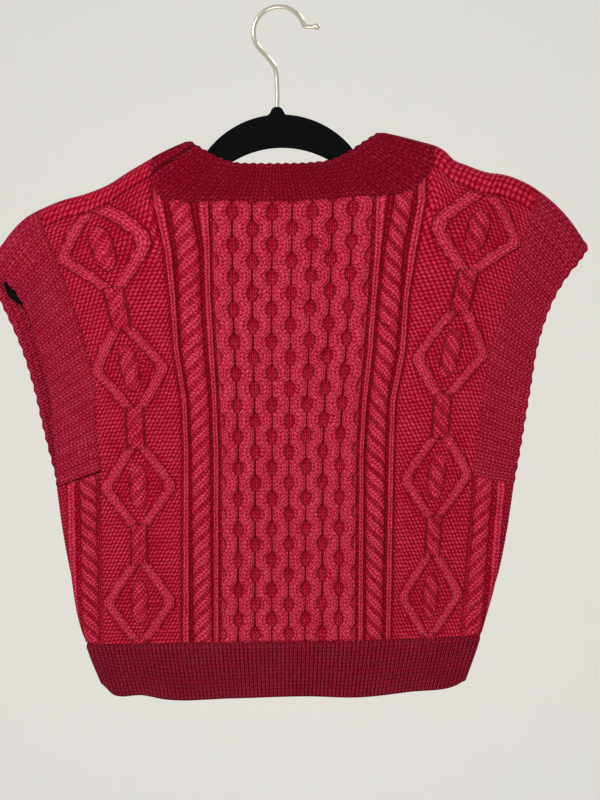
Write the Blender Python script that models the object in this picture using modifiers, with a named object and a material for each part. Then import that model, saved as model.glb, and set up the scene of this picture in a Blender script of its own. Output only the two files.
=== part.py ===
"""Cable-knit sweater vest hanging on a flat velvet hanger.

Frame: metres, +Z up, +X to the viewer's right, -Y towards the viewer, who sees the vest's back.
The origin is the inside top of the hook, where it hangs on a nail or a rod.  The vest lies flat
about the plane y = 0: its near sheet (back) is on the -Y side, its far sheet (front) on the +Y
side, and they meet in rounded folds along the shoulders and down the sides.
Tables are in millimetres, (x, z) in the plane of the vest.
"""
import math

import bmesh
import bpy
import numpy as np

MM = 0.001
NAME = "sweater_vest"

# --- cloth ----------------------------------------------------------------------------------
WALL = 3.0            # thickness of the knitted cloth
FOLD = 9.0            # radius of the folds at the shoulders and sides, at mid wall
SEAM = 0.17           # each piece stops this short of a seam
SIDE_SEAM = 0.33      # the same at a side fold, where the wall's end is not quite square
BAND_SEAM = 0.45      # the same along a band, which curves away from its panel
UNDERARM_SEAM = 0.9   # the same where a band's end turns over the underarm
DROP = 15.0           # the shoulder seam and the band rows reach this far below the fold
NEAR, FAR = -1.0, 1.0

# Lines of the folds, from the neck out to the shoulder tips, then down the sides.
SHOULDER_LEFT = [(-70.5, -105.7), (-85, -110.5), (-99.5, -119.0), (-123, -133), (-132, -139),
                 (-153, -148), (-172, -153.3), (-188, -160), (-201, -167.5), (-212.5, -179),
                 (-220.5, -190), (-233, -202)]
SHOULDER_RIGHT = [(78.5, -99.0), (96.5, -101.6), (114, -106.7), (130, -113), (139, -121.5),
                  (148, -125), (165, -131), (179, -133), (195, -139), (211, -149.3),
                  (227.5, -165), (239.5, -181.7), (245, -190.8)]
SIDE_LEFT = [(-176, -380), (-171, -416), (-164, -453), (-157, -487), (-149, -513), (-139, -537)]
SIDE_RIGHT = [(186, -376.5), (179, -422), (174, -446), (164, -478), (156, -506), (146, -534)]
# Past its ends a fold line runs on, so that the openings' edges open out gradually.
LEAD = {"neck left": (14, 7), "neck right": (-14, 6), "tip left": (-9, -9), "tip right": (9, -12),
        "underarm left": (-20, 40), "underarm right": (20, 40), "hem": (0, -14)}

# The armholes, from underarm up to the band's row below the shoulder fold:
# the seam to the panel, the back edge of the band and the front edge of the band.
ARMHOLES = {
    "left": [  # seam x, z; back edge x, z; front edge x, z
        (-141.0, -367.0, -176.0, -380.0, -176.0, -380.0),
        (-145.0, -337.0, -178.0, -340.0, -187.0, -342.0),
        (-146.5, -297.0, -182.5, -299.0, -197.0, -300.0),
        (-153.5, -268.5, -190.5, -270.0, -206.0, -271.0),
        (-167.0, -226.0, -202.0, -236.0, -221.0, -237.0),
        (-179.0, -194.0, -213.5, -220.0, -227.0, -225.0),
        (-187.0, -175.5, -222.5, -214.5, -230.5, -217.5)],
    "right": [
        (152.5, -370.5, 186.0, -376.5, 186.0, -376.5),
        (156.5, -347.5, 191.0, -347.5, 188.5, -347.5),
        (161.0, -303.0, 198.5, -303.0, 195.5, -303.0),
        (168.0, -266.0, 205.0, -266.0, 202.0, -267.0),
        (182.5, -224.5, 222.0, -222.5, 218.5, -224.0),
        (189.5, -196.0, 230.5, -210.0, 228.5, -211.5),
        (200.0, -162.0, 236.5, -203.0, 235.5, -204.0)]}
ARMHOLE_FOLD = {"left": (-190.0, -161.0), "right": (205.0, -145.0)}   # seam, at the fold

# The neckband: its free edge and its seam to the panel, left to right.
NECK_BACK_EDGE = [(-64.8, -109.8), (-57.7, -113.8), (-48.2, -119.3), (-37.1, -122.8),
                  (-16.6, -124.0), (4.7, -124.0), (26.1, -123.2), (41.9, -120.9),
                  (54.5, -114.9), (64.0, -108.6), (71.9, -103.5)]
NECK_BACK_SEAM = [(-101.1, -134.0), (-95.0, -149.0), (-75.1, -154.1), (-51.4, -153.5),
                  (-22.9, -154.1), (6.3, -154.1), (36.3, -152.5), (62.4, -150.3),
                  (86.1, -148.5), (106.7, -143.6), (120.5, -125.5)]
NECK_FRONT_EDGE = [(-67.5, -117.0), (-57.0, -136.0), (-38.0, -156.0), (4.0, -170.0),
                   (46.0, -155.0), (66.0, -134.0), (75.5, -112.0)]
NECK_FRONT_SEAM = [(-101.1, -134.0), (-88.0, -158.0), (-60.0, -184.0), (4.0, -200.0),
                   (66.0, -182.0), (98.0, -154.0), (120.5, -125.5)]
NECK_FOLD = {"left": ((-70.5, -105.7), (-99.5, -119.0)), "right": ((78.5, -99.0), (122.5, -110.0))}

# The hem rib: top of the rib, bottom edge.
HEM_TOP = [(-153.0, -504.5), (-80.0, -503.0), (0.0, -502.0), (80.0, -500.5), (157.5, -497.5)]
HEM_BOTTOM = [(-138.5, -537.0), (-131.0, -543.5), (-107.0, -544.3), (-91.0, -547.3),
              (-38.0, -546.7), (23.0, -545.1), (63.0, -545.9), (103.5, -541.5),
              (138.0, -537.2), (144.5, -534.5)]
PANEL_EDGE_AT_HEM = {"left": -138.0, "right": 142.5}   # inner line of the side strips

# Broad swells of the cloth away from the mid plane: side, x, z, half width, half height, height.
SWELLS = [(NEAR, 5, -330, 190, 200, 4.5), (NEAR, -60, -470, 90, 110, 1.6),
          (NEAR, 95, -455, 80, 120, 1.4), (NEAR, -120, -240, 60, 110, 1.8),
          (NEAR, 130, -250, 60, 110, 1.8), (FAR, 5, -340, 190, 200, 2.0)]
SWELL_START = 40.0    # the swells fade in over this distance from a fold

# --- grid of the sheets -----------------------------------------------------------------------
ROUND = [0.0, 0.2, 1.6, 4.8, 9.0]          # distances from a fold where the sheet gets a line
SHOULDER_COLUMNS, NECK_COLUMNS = 3, 10     # columns of faces across a shoulder and the neck
COLUMNS = 2 * SHOULDER_COLUMNS + NECK_COLUMNS
ROWS_UP = [0.0, 0.012, 0.03, 0.06, 0.14, 0.28, 0.42, 0.56, 0.70, 0.84, 1.0]
ROWS_DOWN = 4
ROWS_RIB = 2
LINE_STEPS = 400                           # points along a drawn line when it is looked up
FOLD_STEPS = 41                            # points along a fold when a distance is measured
JOIN = 0.00002                             # patches of one sheet join at points this close (m)

# --- hanger -----------------------------------------------------------------------------------
NECK_POINT = (-1.6, -82.0)     # where the hook enters the hanger
TILT = math.radians(2.2)       # it hangs a little higher on the right
HANGER_THICK = 5.5
ARCH_TOP, ARCH_RADIUS, ARCH_HALF = -2.0, 73.5, 57.0
UNDER_ARCH_TOP, UNDER_ARCH_RADIUS, UNDER_ARCH_HALF = -28.6, 75.0, 57.0
ARM_TOP = [(63, -38), (72, -31), (100, -42.5), (131, -57), (173, -72.5), (200, -85.5),
           (213, -97), (220, -111), (222.5, -125), (219, -138), (208, -146.3), (195, -148)]
ARM_UNDER = [(62, -59), (72, -60), (100, -68), (131, -80), (173, -95.5), (195, -106),
             (205, -115), (209, -126), (205, -136), (195, -139.5)]
ARCH_STEPS, ARM_STEPS = 9, 24
WIRE = 3.6
HOOK_RADIUS = 20.4
HOOK_FROM, HOOK_TO = 16.0, 225.0                  # degrees of the hook's arc
HOOK_TIP = [(31.6, -14.2), (26.1, -14.3)]         # the short straight end
HOOK_STEPS = 26
HOOK_STEM = [(-9.8, -37.8), (-6.0, -42.6), (-3.4, -47.0), (-2.2, -52.0), (-1.6, -60.0),
             (-1.6, -78.0)]
COLLAR = [(2.2, -78.2), (3.6, -78.2), (4.8, -79.2), (5.6, -81.2), (5.9, -83.3), (2.2, -83.3)]
COLLAR_STEPS = 20
COLLAR_JOIN = 0.00001          # the turned profile's ends join at points this close (m)

# --- colours ----------------------------------------------------------------------------------
FINISHES = {  # name: colour, roughness, metallic
    "knit back": ((0.40, 0.018, 0.040, 1), 0.9, 0.0),
    "knit front": ((0.34, 0.014, 0.032, 1), 0.9, 0.0),
    "rib": ((0.28, 0.010, 0.024, 1), 0.9, 0.0),
    "band": ((0.33, 0.014, 0.036, 1), 0.9, 0.0),
    "velvet": ((0.008, 0.009, 0.009, 1), 0.95, 0.0),
    "metal": ((0.62, 0.58, 0.48, 1), 0.25, 1.0)}


def clear_scene():
    for thing in list(bpy.data.objects):
        bpy.data.objects.remove(thing, do_unlink=True)


def material(name):
    """A Principled material with the named finish."""
    colour, roughness, metallic = FINISHES[name]
    finish = bpy.data.materials.new(name)
    finish.use_nodes = True
    shader = finish.node_tree.nodes["Principled BSDF"]
    shader.inputs["Base Color"].default_value = colour
    shader.inputs["Roughness"].default_value = roughness
    shader.inputs["Metallic"].default_value = metallic
    return finish


# --- lines and folds --------------------------------------------------------------------------
def smooth(points, where):
    """Points at the fractions `where` along a smooth curve through `points`."""
    points = np.asarray(points, float)
    knots = np.concatenate([[0.0], np.cumsum(np.linalg.norm(np.diff(points, axis=0), axis=1))])
    knots /= knots[-1]
    slopes = np.gradient(points, knots, axis=0)
    where = np.clip(np.asarray(where, float), 0.0, 1.0)
    at = np.clip(np.searchsorted(knots, where, side="right") - 1, 0, len(knots) - 2)
    span = knots[at + 1] - knots[at]
    s = ((where - knots[at]) / span)[:, None]
    span = span[:, None]
    start, end = points[at], points[at + 1]
    return ((2 * s**3 - 3 * s**2 + 1) * start + (s**3 - 2 * s**2 + s) * span * slopes[at]
            + (3 * s**2 - 2 * s**3) * end + (s**3 - s**2) * span * slopes[at + 1])


def along(points, count):
    return smooth(points, np.linspace(0.0, 1.0, count))


def fold_segments():
    """The fold lines as short straight segments, each with its lead past the openings."""
    lines = []
    for points, first, last in ((SHOULDER_LEFT, "neck left", "tip left"),
                                (SHOULDER_RIGHT, "neck right", "tip right"),
                                (SIDE_LEFT, "underarm left", "hem"),
                                (SIDE_RIGHT, "underarm right", "hem")):
        line = along(points, FOLD_STEPS)
        line = np.vstack([line[0] + LEAD[first], line, line[-1] + LEAD[last]])
        lines.append(np.stack([line[:-1], line[1:]], axis=1))
    return np.concatenate(lines)


SEGMENTS = fold_segments()


def fold_distance(points):
    """Distance in the plane from each (x, z) to the nearest fold line."""
    flat = points.reshape(-1, 1, 2)
    start = SEGMENTS[None, :, 0]
    span = SEGMENTS[None, :, 1] - start
    part = np.clip(((flat - start) * span).sum(-1) / (span**2).sum(-1), 0.0, 1.0)
    nearest = start + part[..., None] * span
    return np.linalg.norm(flat - nearest, axis=-1).min(axis=1).reshape(points.shape[:-1])


def on_sheet(points, side):
    """Lift (x, z) points onto the near or far sheet: a quarter round at each fold, then the swells.

    `side` is NEAR or FAR, or an array of them, with 0 for points on a fold."""
    distance = fold_distance(points)
    part = np.minimum(distance / FOLD, 1.0)
    depth = FOLD * np.sqrt(np.maximum(1.0 - (1.0 - part)**2, 0.0))
    fade = np.clip((distance - FOLD) / SWELL_START, 0.0, 1.0)
    fade = fade * fade * (3.0 - 2.0 * fade)
    side = np.broadcast_to(np.asarray(side, float), distance.shape)
    for of_side, x, z, half_width, half_height, height in SWELLS:
        away = ((points[..., 0] - x) / half_width)**2 + ((points[..., 1] - z) / half_height)**2
        bump = height * np.maximum(1.0 - away, 0.0)**2
        depth = depth + np.where(side == of_side, fade * bump, 0.0)
    return np.stack([points[..., 0], side * depth, points[..., 1]], axis=-1)


def fill(left, right, bottom, top, up):
    """A grid of (x, z) between four lines that share corners, with its rows at the parts `up`."""
    up = np.asarray(up, float)[:, None, None]
    across = np.linspace(0.0, 1.0, len(bottom))[None, :, None]
    sides = (1 - across) * left[:, None] + across * right[:, None]
    ends = (1 - up) * bottom[None] + up * top[None]
    corners = ((1 - across) * (1 - up) * bottom[0] + across * (1 - up) * bottom[-1]
               + (1 - across) * up * top[0] + across * up * top[-1])
    return sides + ends - corners


def pull(grid, edge, by):
    """Move one edge of a grid of points towards its neighbours, to leave a seam."""
    grid = grid.copy()
    rows = {"bottom": (0, 1), "top": (-1, -2)}
    if edge in rows:
        first, second = rows[edge]
        step = grid[second] - grid[first]
        grid[first] += by * step / np.linalg.norm(step, axis=-1, keepdims=True)
    else:
        first, second = {"left": (0, 1), "right": (-1, -2)}[edge]
        step = grid[:, second] - grid[:, first]
        grid[:, first] += by * step / np.linalg.norm(step, axis=-1, keepdims=True)
    return grid


# --- the outline's parts ------------------------------------------------------------------------
def armhole_line(side, first):
    """Rows of the armhole: 0 the panel seam, 2 the band's back edge, 4 its front edge."""
    table = np.array(ARMHOLES[side])[:, first:first + 2]
    return smooth(table, ROWS_UP)


def shoulder_fold(side):
    """(x, z) of the fold at each shoulder column, from the armhole seam to the neckband."""
    line = along({"left": SHOULDER_LEFT, "right": SHOULDER_RIGHT}[side], LINE_STEPS)
    start, end = ARMHOLE_FOLD[side], NECK_FOLD[side][1]
    x = np.linspace(start[0], end[0], SHOULDER_COLUMNS + 1)
    order = np.argsort(line[:, 0])
    z = np.interp(x, line[order, 0], line[order, 1])
    return np.stack([x, z], axis=1)


def shoulder_seam(side, neck_corner):
    """The same columns, DROP below the fold."""
    fold = shoulder_fold(side)
    start = np.array(ARMHOLES[side][-1][:2])
    lean = (start - fold[0])[None] * np.linspace(1, 0, len(fold))[:, None]
    lean += (np.array(neck_corner) - fold[-1])[None] * np.linspace(0, 1, len(fold))[:, None]
    return fold + lean


def top_line(neck_seam):
    """The panel's top: left shoulder seam, neck seam, right shoulder seam."""
    neck = along(neck_seam, NECK_COLUMNS + 1)
    left = shoulder_seam("left", neck[0])
    right = shoulder_seam("right", neck[-1])[::-1]
    return np.vstack([left[:-1], neck, right[1:]])


def underarm_line():
    return np.linspace(ARMHOLES["left"][0][:2], ARMHOLES["right"][0][:2], COLUMNS + 1)


def hem_height(x, table):
    line = along(table, LINE_STEPS)
    return np.interp(x, line[:, 0], line[:, 1])


def side_line(side, z):
    """The x of the side fold at the heights z."""
    line = along({"left": SIDE_LEFT, "right": SIDE_RIGHT}[side], LINE_STEPS)[::-1]
    return np.interp(z, line[:, 1], line[:, 0])


def upper_block(neck_seam):
    left, right = armhole_line("left", 0), armhole_line("right", 0)
    return fill(left, right, underarm_line(), top_line(neck_seam), ROWS_UP)


def hem_row(part):
    """All the columns of the hem rib, from side fold to side fold, at a part of its height."""
    ends = {}
    for edge, end in (("left", 0), ("right", -1)):
        z = HEM_TOP[end][1] + part * (HEM_BOTTOM[end][1] - HEM_TOP[end][1])
        ends[edge] = side_line(edge, z)
    top_left = side_line("left", HEM_TOP[0][1])
    top_width = side_line("right", HEM_TOP[-1][1]) - top_left
    inner = np.linspace(PANEL_EDGE_AT_HEM["left"], PANEL_EDGE_AT_HEM["right"], COLUMNS + 1)
    width = ends["right"] - ends["left"]
    x = np.concatenate([ends["left"] + np.array(ROUND),
                        ends["left"] + (inner - top_left) / top_width * width,
                        ends["right"] - np.array(ROUND[::-1])])
    top, bottom = hem_height(x, HEM_TOP), hem_height(x, HEM_BOTTOM)
    return np.stack([x, top + part * (bottom - top)], axis=1)


def lower_block():
    """From the top of the hem rib to the underarm, between the side strips."""
    bottom = hem_row(0.0)[len(ROUND):-len(ROUND)]
    top = underarm_line()
    left = np.linspace(bottom[0], top[0], ROWS_DOWN + 1)
    right = np.linspace(bottom[-1], top[-1], ROWS_DOWN + 1)
    return fill(left, right, bottom, top, np.linspace(0.0, 1.0, ROWS_DOWN + 1))


def strip_block(side, lower):
    """The strip between the side fold and the panel's inner line, outermost column first."""
    inner = lower[:, 0] if side == "left" else lower[:, -1]
    inward = 1.0 if side == "left" else -1.0
    drop = ARMHOLES[side][0][3] - inner[-1, 1]
    outer_z = inner[:, 1] + drop * np.linspace(0.0, 1.0, len(inner))**2
    outer = np.stack([side_line(side, outer_z), outer_z], axis=1)
    columns = [outer + np.array([inward * distance, 0.0]) for distance in ROUND]
    for column, distance in zip(columns, ROUND):
        part = distance / np.abs(inner[:, 0] - outer[:, 0])
        column[:, 1] += (inner[:, 1] - outer[:, 1]) * part
    block = np.stack(columns + [inner], axis=1)
    row = hem_row(0.0)
    block[0, :-1] = row[:len(ROUND)] if side == "left" else row[:-len(ROUND) - 1:-1]
    return block


def band_fractions(side):
    """How far across the band each line lies, to match the strip below it."""
    inner, outer = np.array(ARMHOLES[side][0][:2]), np.array(ARMHOLES[side][0][2:4])
    width = abs(inner[0] - outer[0])
    return np.array([distance / width for distance in ROUND] + [1.0])


def over_fold(fold, near, far):
    """Rows of (x, z) from the near row over the fold to the far row, and the side of each."""
    steps = np.array([DROP] + ROUND[:0:-1]) / DROP
    rows = [fold + (near - fold) * step for step in steps] + [fold]
    rows += [fold + (far - fold) * step for step in steps[::-1]]
    sides = [NEAR] * len(steps) + [0.0] + [FAR] * len(steps)
    return np.array(rows), np.array(sides)[:, None]


# --- making objects -----------------------------------------------------------------------------
def sheet_object(name, patches, finish, collection):
    """Join grids of points into one open sheet and give it its wall."""
    shell = bmesh.new()
    for patch in patches:
        corners = [[shell.verts.new(tuple(point * MM)) for point in row] for row in patch]
        for low, high in zip(corners[:-1], corners[1:]):
            for i in range(len(low) - 1):
                shell.faces.new((low[i], low[i + 1], high[i + 1], high[i]))
    bmesh.ops.remove_doubles(shell, verts=shell.verts, dist=JOIN)
    bmesh.ops.recalc_face_normals(shell, faces=shell.faces)
    mesh = bpy.data.meshes.new(name)
    shell.to_mesh(mesh)
    shell.free()
    mesh.materials.append(material(finish))
    piece = bpy.data.objects.new(name, mesh)
    collection.objects.link(piece)
    wall = piece.modifiers.new("wall", "SOLIDIFY")
    wall.thickness = WALL * MM
    wall.offset = 0.0
    wall.use_even_offset = True
    return piece


def make_panel(name, side, neck_seam, finish, collection):
    """A back or front panel: body, two side strips and, on the front, the shoulder straps."""
    upper = upper_block(neck_seam)
    lower = lower_block()
    upper_sheet = on_sheet(upper, side)
    lower_sheet = pull(on_sheet(lower, side), "bottom", SEAM)
    for edge in ("left", "right"):
        upper_sheet = pull(upper_sheet, edge, SEAM)
    patches = []
    for edge, column in (("left", 0), ("right", -1)):
        strip = pull(on_sheet(strip_block(edge, lower), side), "bottom", SEAM)
        strip = pull(strip, "left", SIDE_SEAM)
        strip[:, -1] = lower_sheet[:, column]
        strip[-1, 1:-1] = pull(strip, "top", SEAM)[-1, 1:-1]
        patches.append(strip)
    if side == NEAR:
        upper_sheet = pull(upper_sheet, "top", SEAM)
    else:
        neck = slice(SHOULDER_COLUMNS, COLUMNS - SHOULDER_COLUMNS + 1)
        upper_sheet[-1, neck] = pull(upper_sheet, "top", SEAM)[-1, neck]
        patches += [shoulder_strap("left", neck_seam), shoulder_strap("right", neck_seam)]
        strap_rows = {"left": patches[-2][-1], "right": patches[-1][-1]}
        upper_sheet[-1, :SHOULDER_COLUMNS + 1] = strap_rows["left"]
        upper_sheet[-1, -SHOULDER_COLUMNS - 1:] = strap_rows["right"][::-1]
    upper_sheet[0] = np.where(np.arange(COLUMNS + 1)[:, None] % COLUMNS == 0,
                              lower_sheet[-1], upper_sheet[0])
    patches += [upper_sheet, lower_sheet]
    return sheet_object(name, patches, finish, collection)


def shoulder_strap(edge, neck_seam):
    """The front's top, from the seam on the back over the shoulder fold to the front."""
    fold = shoulder_fold(edge)
    corner = {"left": NECK_BACK_SEAM[0], "right": NECK_BACK_SEAM[-1]}[edge]
    far_corner = {"left": neck_seam[0], "right": neck_seam[-1]}[edge]
    near, far = shoulder_seam(edge, corner), shoulder_seam(edge, far_corner)
    rows, sides = over_fold(fold, near, far)
    strap = pull(on_sheet(rows, sides), "bottom", SEAM)
    return pull(pull(strap, "left", SEAM), "right", SEAM)


def make_hem(name, side, finish, collection):
    """A hem rib, with its columns gathered to the rounded side folds."""
    lines = [hem_row(part) for part in np.linspace(0.0, 1.0, ROWS_RIB + 1)]
    grid = on_sheet(np.array(lines), side)
    grid = pull(pull(pull(grid, "bottom", SEAM), "left", SIDE_SEAM), "right", SIDE_SEAM)
    return sheet_object(name, [grid], finish, collection)


def make_armband(name, edge, finish, collection):
    """An armhole band: up the back, over the shoulder fold and down the front."""
    across = band_fractions(edge)[:, None]
    seam = armhole_line(edge, 0)
    back, front = armhole_line(edge, 2), armhole_line(edge, 4)
    near = np.array([outer + (inner - outer) * across for inner, outer in zip(seam, back)])
    far = np.array([outer + (inner - outer) * across for inner, outer in zip(seam, front)])
    line = {"left": SHOULDER_LEFT, "right": SHOULDER_RIGHT}[edge]
    silhouette = along(line, LINE_STEPS)
    order = np.argsort(silhouette[:, 0])
    tip = line[-1]
    fold_x = tip[0] + (ARMHOLE_FOLD[edge][0] - tip[0]) * across[:, 0]
    fold = np.stack([fold_x, np.interp(fold_x, silhouette[order, 0], silhouette[order, 1])], axis=1)
    rows, sides = over_fold(fold, near[-1], far[-1])
    points = np.concatenate([near, rows[1:-1], far[::-1]])
    side = np.concatenate([np.full((len(near), 1), NEAR), sides[1:-1], np.full((len(far), 1), FAR)])
    grid = pull(on_sheet(points, side), "right", BAND_SEAM)
    for end in ("bottom", "top"):
        grid = pull(grid, end, UNDERARM_SEAM)
    return sheet_object(name, [grid], finish, collection)


def make_neckband(name, finish, collection):
    """The neckband: a ring across the back, over both shoulder folds and across the front."""
    back = np.stack([along(NECK_BACK_EDGE, NECK_COLUMNS + 1),
                     along(NECK_BACK_SEAM, NECK_COLUMNS + 1)], axis=1)
    front = np.stack([along(NECK_FRONT_EDGE, NECK_COLUMNS + 1),
                      along(NECK_FRONT_SEAM, NECK_COLUMNS + 1)], axis=1)
    left, right = np.array(NECK_FOLD["left"]), np.array(NECK_FOLD["right"])
    over_right, right_sides = over_fold(right, back[-1], front[-1])
    over_left, left_sides = over_fold(left, front[0], back[0])
    sections = np.concatenate([back, over_right[1:-1], front[::-1], over_left[1:-1], back[:1]])
    side = np.concatenate([np.full((len(back), 1), NEAR), right_sides[1:-1],
                           np.full((len(front), 1), FAR), -left_sides[1:-1], [[NEAR]]])
    across = np.array([0.0, 0.5, 1.0])[None, :, None]
    grid = sections[:, :1] * (1 - across) + sections[:, 1:] * across
    grid = pull(on_sheet(grid, side), "right", BAND_SEAM)
    return sheet_object(name, [grid], finish, collection)


# --- hanger -------------------------------------------------------------------------------------
def arc(top, radius, half):
    """Points of an arc from its top out to `half`, curving down."""
    x = half * np.sin(np.linspace(0.0, math.pi / 2, ARCH_STEPS))
    return np.stack([x, top - radius + np.sqrt(radius**2 - x**2)], axis=1)


def both_sides(points):
    """A closed outline from its right half, top to bottom."""
    mirrored = [(-x, z) for x, z in points[::-1] if x > 0]
    return list(points) + mirrored


def make_hanger(name, finish, collection):
    """The hanger's flat body: an outline with one opening, given its thickness."""
    outer = np.vstack([arc(ARCH_TOP, ARCH_RADIUS, ARCH_HALF), along(ARM_TOP, ARM_STEPS)])
    inner = np.vstack([arc(UNDER_ARCH_TOP, UNDER_ARCH_RADIUS, UNDER_ARCH_HALF),
                       along(ARM_UNDER, ARM_STEPS)])
    outline = bpy.data.curves.new(name, "CURVE")
    outline.dimensions = "2D"
    outline.fill_mode = "BOTH"
    outline.extrude = HANGER_THICK / 2 * MM
    for points in (both_sides(outer), both_sides(inner)):
        spline = outline.splines.new("POLY")
        spline.points.add(len(points) - 1)
        for point, (x, z) in zip(spline.points, points):
            point.co = (x * MM, z * MM, 0.0, 1.0)
        spline.use_cyclic_u = True
    outline.materials.append(material(finish))
    piece = bpy.data.objects.new(name, outline)
    piece.location = (NECK_POINT[0] * MM, 0.0, NECK_POINT[1] * MM)
    piece.rotation_euler = (math.pi / 2, -TILT, 0.0)
    collection.objects.link(piece)
    return piece


def make_collar(name, finish, collection):
    """The collar round the foot of the hook: a turned profile."""
    profile = bmesh.new()
    corners = [profile.verts.new((x * MM, 0.0, z * MM)) for x, z in COLLAR]
    for start, end in zip(corners, corners[1:] + corners[:1]):
        profile.edges.new((start, end))
    mesh = bpy.data.meshes.new(name)
    profile.to_mesh(mesh)
    profile.free()
    mesh.materials.append(material(finish))
    piece = bpy.data.objects.new(name, mesh)
    piece.location = (NECK_POINT[0] * MM, 0.0, 0.0)
    collection.objects.link(piece)
    turn = piece.modifiers.new("turn", "SCREW")
    turn.steps = COLLAR_STEPS
    turn.render_steps = COLLAR_STEPS
    turn.use_merge_vertices = True
    turn.merge_threshold = COLLAR_JOIN
    return piece


def make_hook(name, finish, collection):
    """The wire hook: short tip, arc over the origin, bend and stem."""
    middle = WIRE / 2 - HOOK_RADIUS
    angles = np.radians(np.linspace(HOOK_FROM, HOOK_TO, HOOK_STEPS))
    route = HOOK_TIP + [(HOOK_RADIUS * math.cos(a), middle + HOOK_RADIUS * math.sin(a)) for a in angles]
    route += HOOK_STEM
    wire = bpy.data.curves.new(name, "CURVE")
    wire.dimensions = "3D"
    wire.bevel_depth = WIRE / 2 * MM
    wire.bevel_resolution = 2
    wire.use_fill_caps = True
    spline = wire.splines.new("POLY")
    spline.points.add(len(route) - 1)
    for point, (x, z) in zip(spline.points, route):
        point.co = (x * MM, 0.0, z * MM, 1.0)
    wire.materials.append(material(finish))
    piece = bpy.data.objects.new(name, wire)
    collection.objects.link(piece)
    return piece


def main():
    clear_scene()
    collection = bpy.data.collections.new(NAME)
    bpy.context.scene.collection.children.link(collection)
    make_panel("back_panel", NEAR, NECK_BACK_SEAM, "knit back", collection)
    make_panel("front_panel", FAR, NECK_FRONT_SEAM, "knit front", collection)
    make_hem("hem_rib_back", NEAR, "rib", collection)
    make_hem("hem_rib_front", FAR, "rib", collection)
    make_neckband("neckband", "rib", collection)
    make_armband("armband_left", "left", "band", collection)
    make_armband("armband_right", "right", "band", collection)
    make_hanger("hanger_body", "velvet", collection)
    make_collar("hook_collar", "velvet", collection)
    make_hook("hanger_hook", "metal", collection)


main()
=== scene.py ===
# %% [markdown]
# # Knitted sweater vest on a velvet hanger
# A cropped cable-knit vest hangs with its back to us on a flat velvet hanger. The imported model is
# loaded first, because it holds the real sizes and places: every skin made below lies on one of its
# solids. The vest's shapes are kept in millimetres and turned into metres when a mesh is made.

# %% Load the frame
import math

import bmesh
import bpy
import numpy as np
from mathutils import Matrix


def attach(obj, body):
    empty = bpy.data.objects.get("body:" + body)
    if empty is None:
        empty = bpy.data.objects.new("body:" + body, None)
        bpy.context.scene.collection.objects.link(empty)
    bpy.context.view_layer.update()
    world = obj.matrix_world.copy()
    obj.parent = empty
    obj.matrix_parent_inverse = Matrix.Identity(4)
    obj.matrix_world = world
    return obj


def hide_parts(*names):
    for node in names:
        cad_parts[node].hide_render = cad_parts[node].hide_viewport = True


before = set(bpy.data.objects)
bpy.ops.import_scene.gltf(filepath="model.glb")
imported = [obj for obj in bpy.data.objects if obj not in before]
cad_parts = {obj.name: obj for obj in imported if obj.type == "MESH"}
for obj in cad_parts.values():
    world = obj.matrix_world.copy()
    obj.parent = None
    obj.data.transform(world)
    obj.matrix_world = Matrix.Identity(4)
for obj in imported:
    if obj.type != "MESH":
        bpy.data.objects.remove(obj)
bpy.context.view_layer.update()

MM = 0.001
NEAR, FAR = -1.0, 1.0
print("nodes:", ", ".join(sorted(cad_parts)))

# %% [markdown]
# ## Camera, backdrop and light
# The camera looks straight at the back, a little right of the middle, from 1.3 m. The backdrop is a
# pale wall that sweeps into a floor. It stands well behind the vest, so that a view from any side
# still has the vest in front of it. A soft lamp from the upper left models the stitches, and a weak
# one in front keeps the gaps between them open. A wide one lights only the wall. A narrow one behind
# the vest lights its front, which is what a view from behind shows.

# %% Camera
SENSOR = 36.0
VIEW_ANGLE = math.radians(27.5)
LENS = SENSOR / 2 / math.tan(VIEW_ANGLE / 2)
CAMERA_PLACE = (0.0166, -1.3, -0.311)

lens = bpy.data.cameras.new("camera")
lens.sensor_width = SENSOR
lens.lens = LENS
camera = bpy.data.objects.new("camera", lens)
camera.location = CAMERA_PLACE
camera.rotation_euler = (math.pi / 2, 0.0, 0.0)
bpy.context.scene.collection.objects.link(camera)
bpy.context.scene.camera = camera

# %% Backdrop
FLOOR_Z, WALL_Y, SWEEP, HALF_ROOM = -1.45, 2.9, 0.5, 6.0


def backdrop():
    """A profile extruded along X: floor towards the viewer, a quarter circle, then the wall up."""
    turn = np.linspace(-math.pi / 2, 0.0, 17)
    y = np.concatenate([[-4.0], WALL_Y - SWEEP + SWEEP * np.cos(turn), [WALL_Y]])
    z = np.concatenate([[FLOOR_Z], FLOOR_Z + SWEEP + SWEEP * np.sin(turn), [4.0]])
    x = np.array([-HALF_ROOM, HALF_ROOM])
    points = np.stack([np.broadcast_to(x[:, None], (2, len(y))),
                       np.broadcast_to(y, (2, len(y))), np.broadcast_to(z, (2, len(z)))], axis=-1)
    index = np.arange(2 * len(y)).reshape(2, len(y))
    faces = np.stack([index[0, :-1], index[0, 1:], index[1, 1:], index[1, :-1]], axis=-1)
    mesh = bpy.data.meshes.new("backdrop")
    mesh.from_pydata(points.reshape(-1, 3).tolist(), [], faces.tolist())
    mesh.polygons.foreach_set("use_smooth", [True] * len(faces))
    paint = bpy.data.materials.new("pale wall")
    paint.use_nodes = True
    shader = paint.node_tree.nodes["Principled BSDF"]
    shader.inputs["Base Color"].default_value = (0.93, 0.918, 0.885, 1)
    shader.inputs["Roughness"].default_value = 0.9
    mesh.materials.append(paint)
    sweep = bpy.data.objects.new("backdrop", mesh)
    bpy.context.scene.collection.objects.link(sweep)


backdrop()


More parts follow.
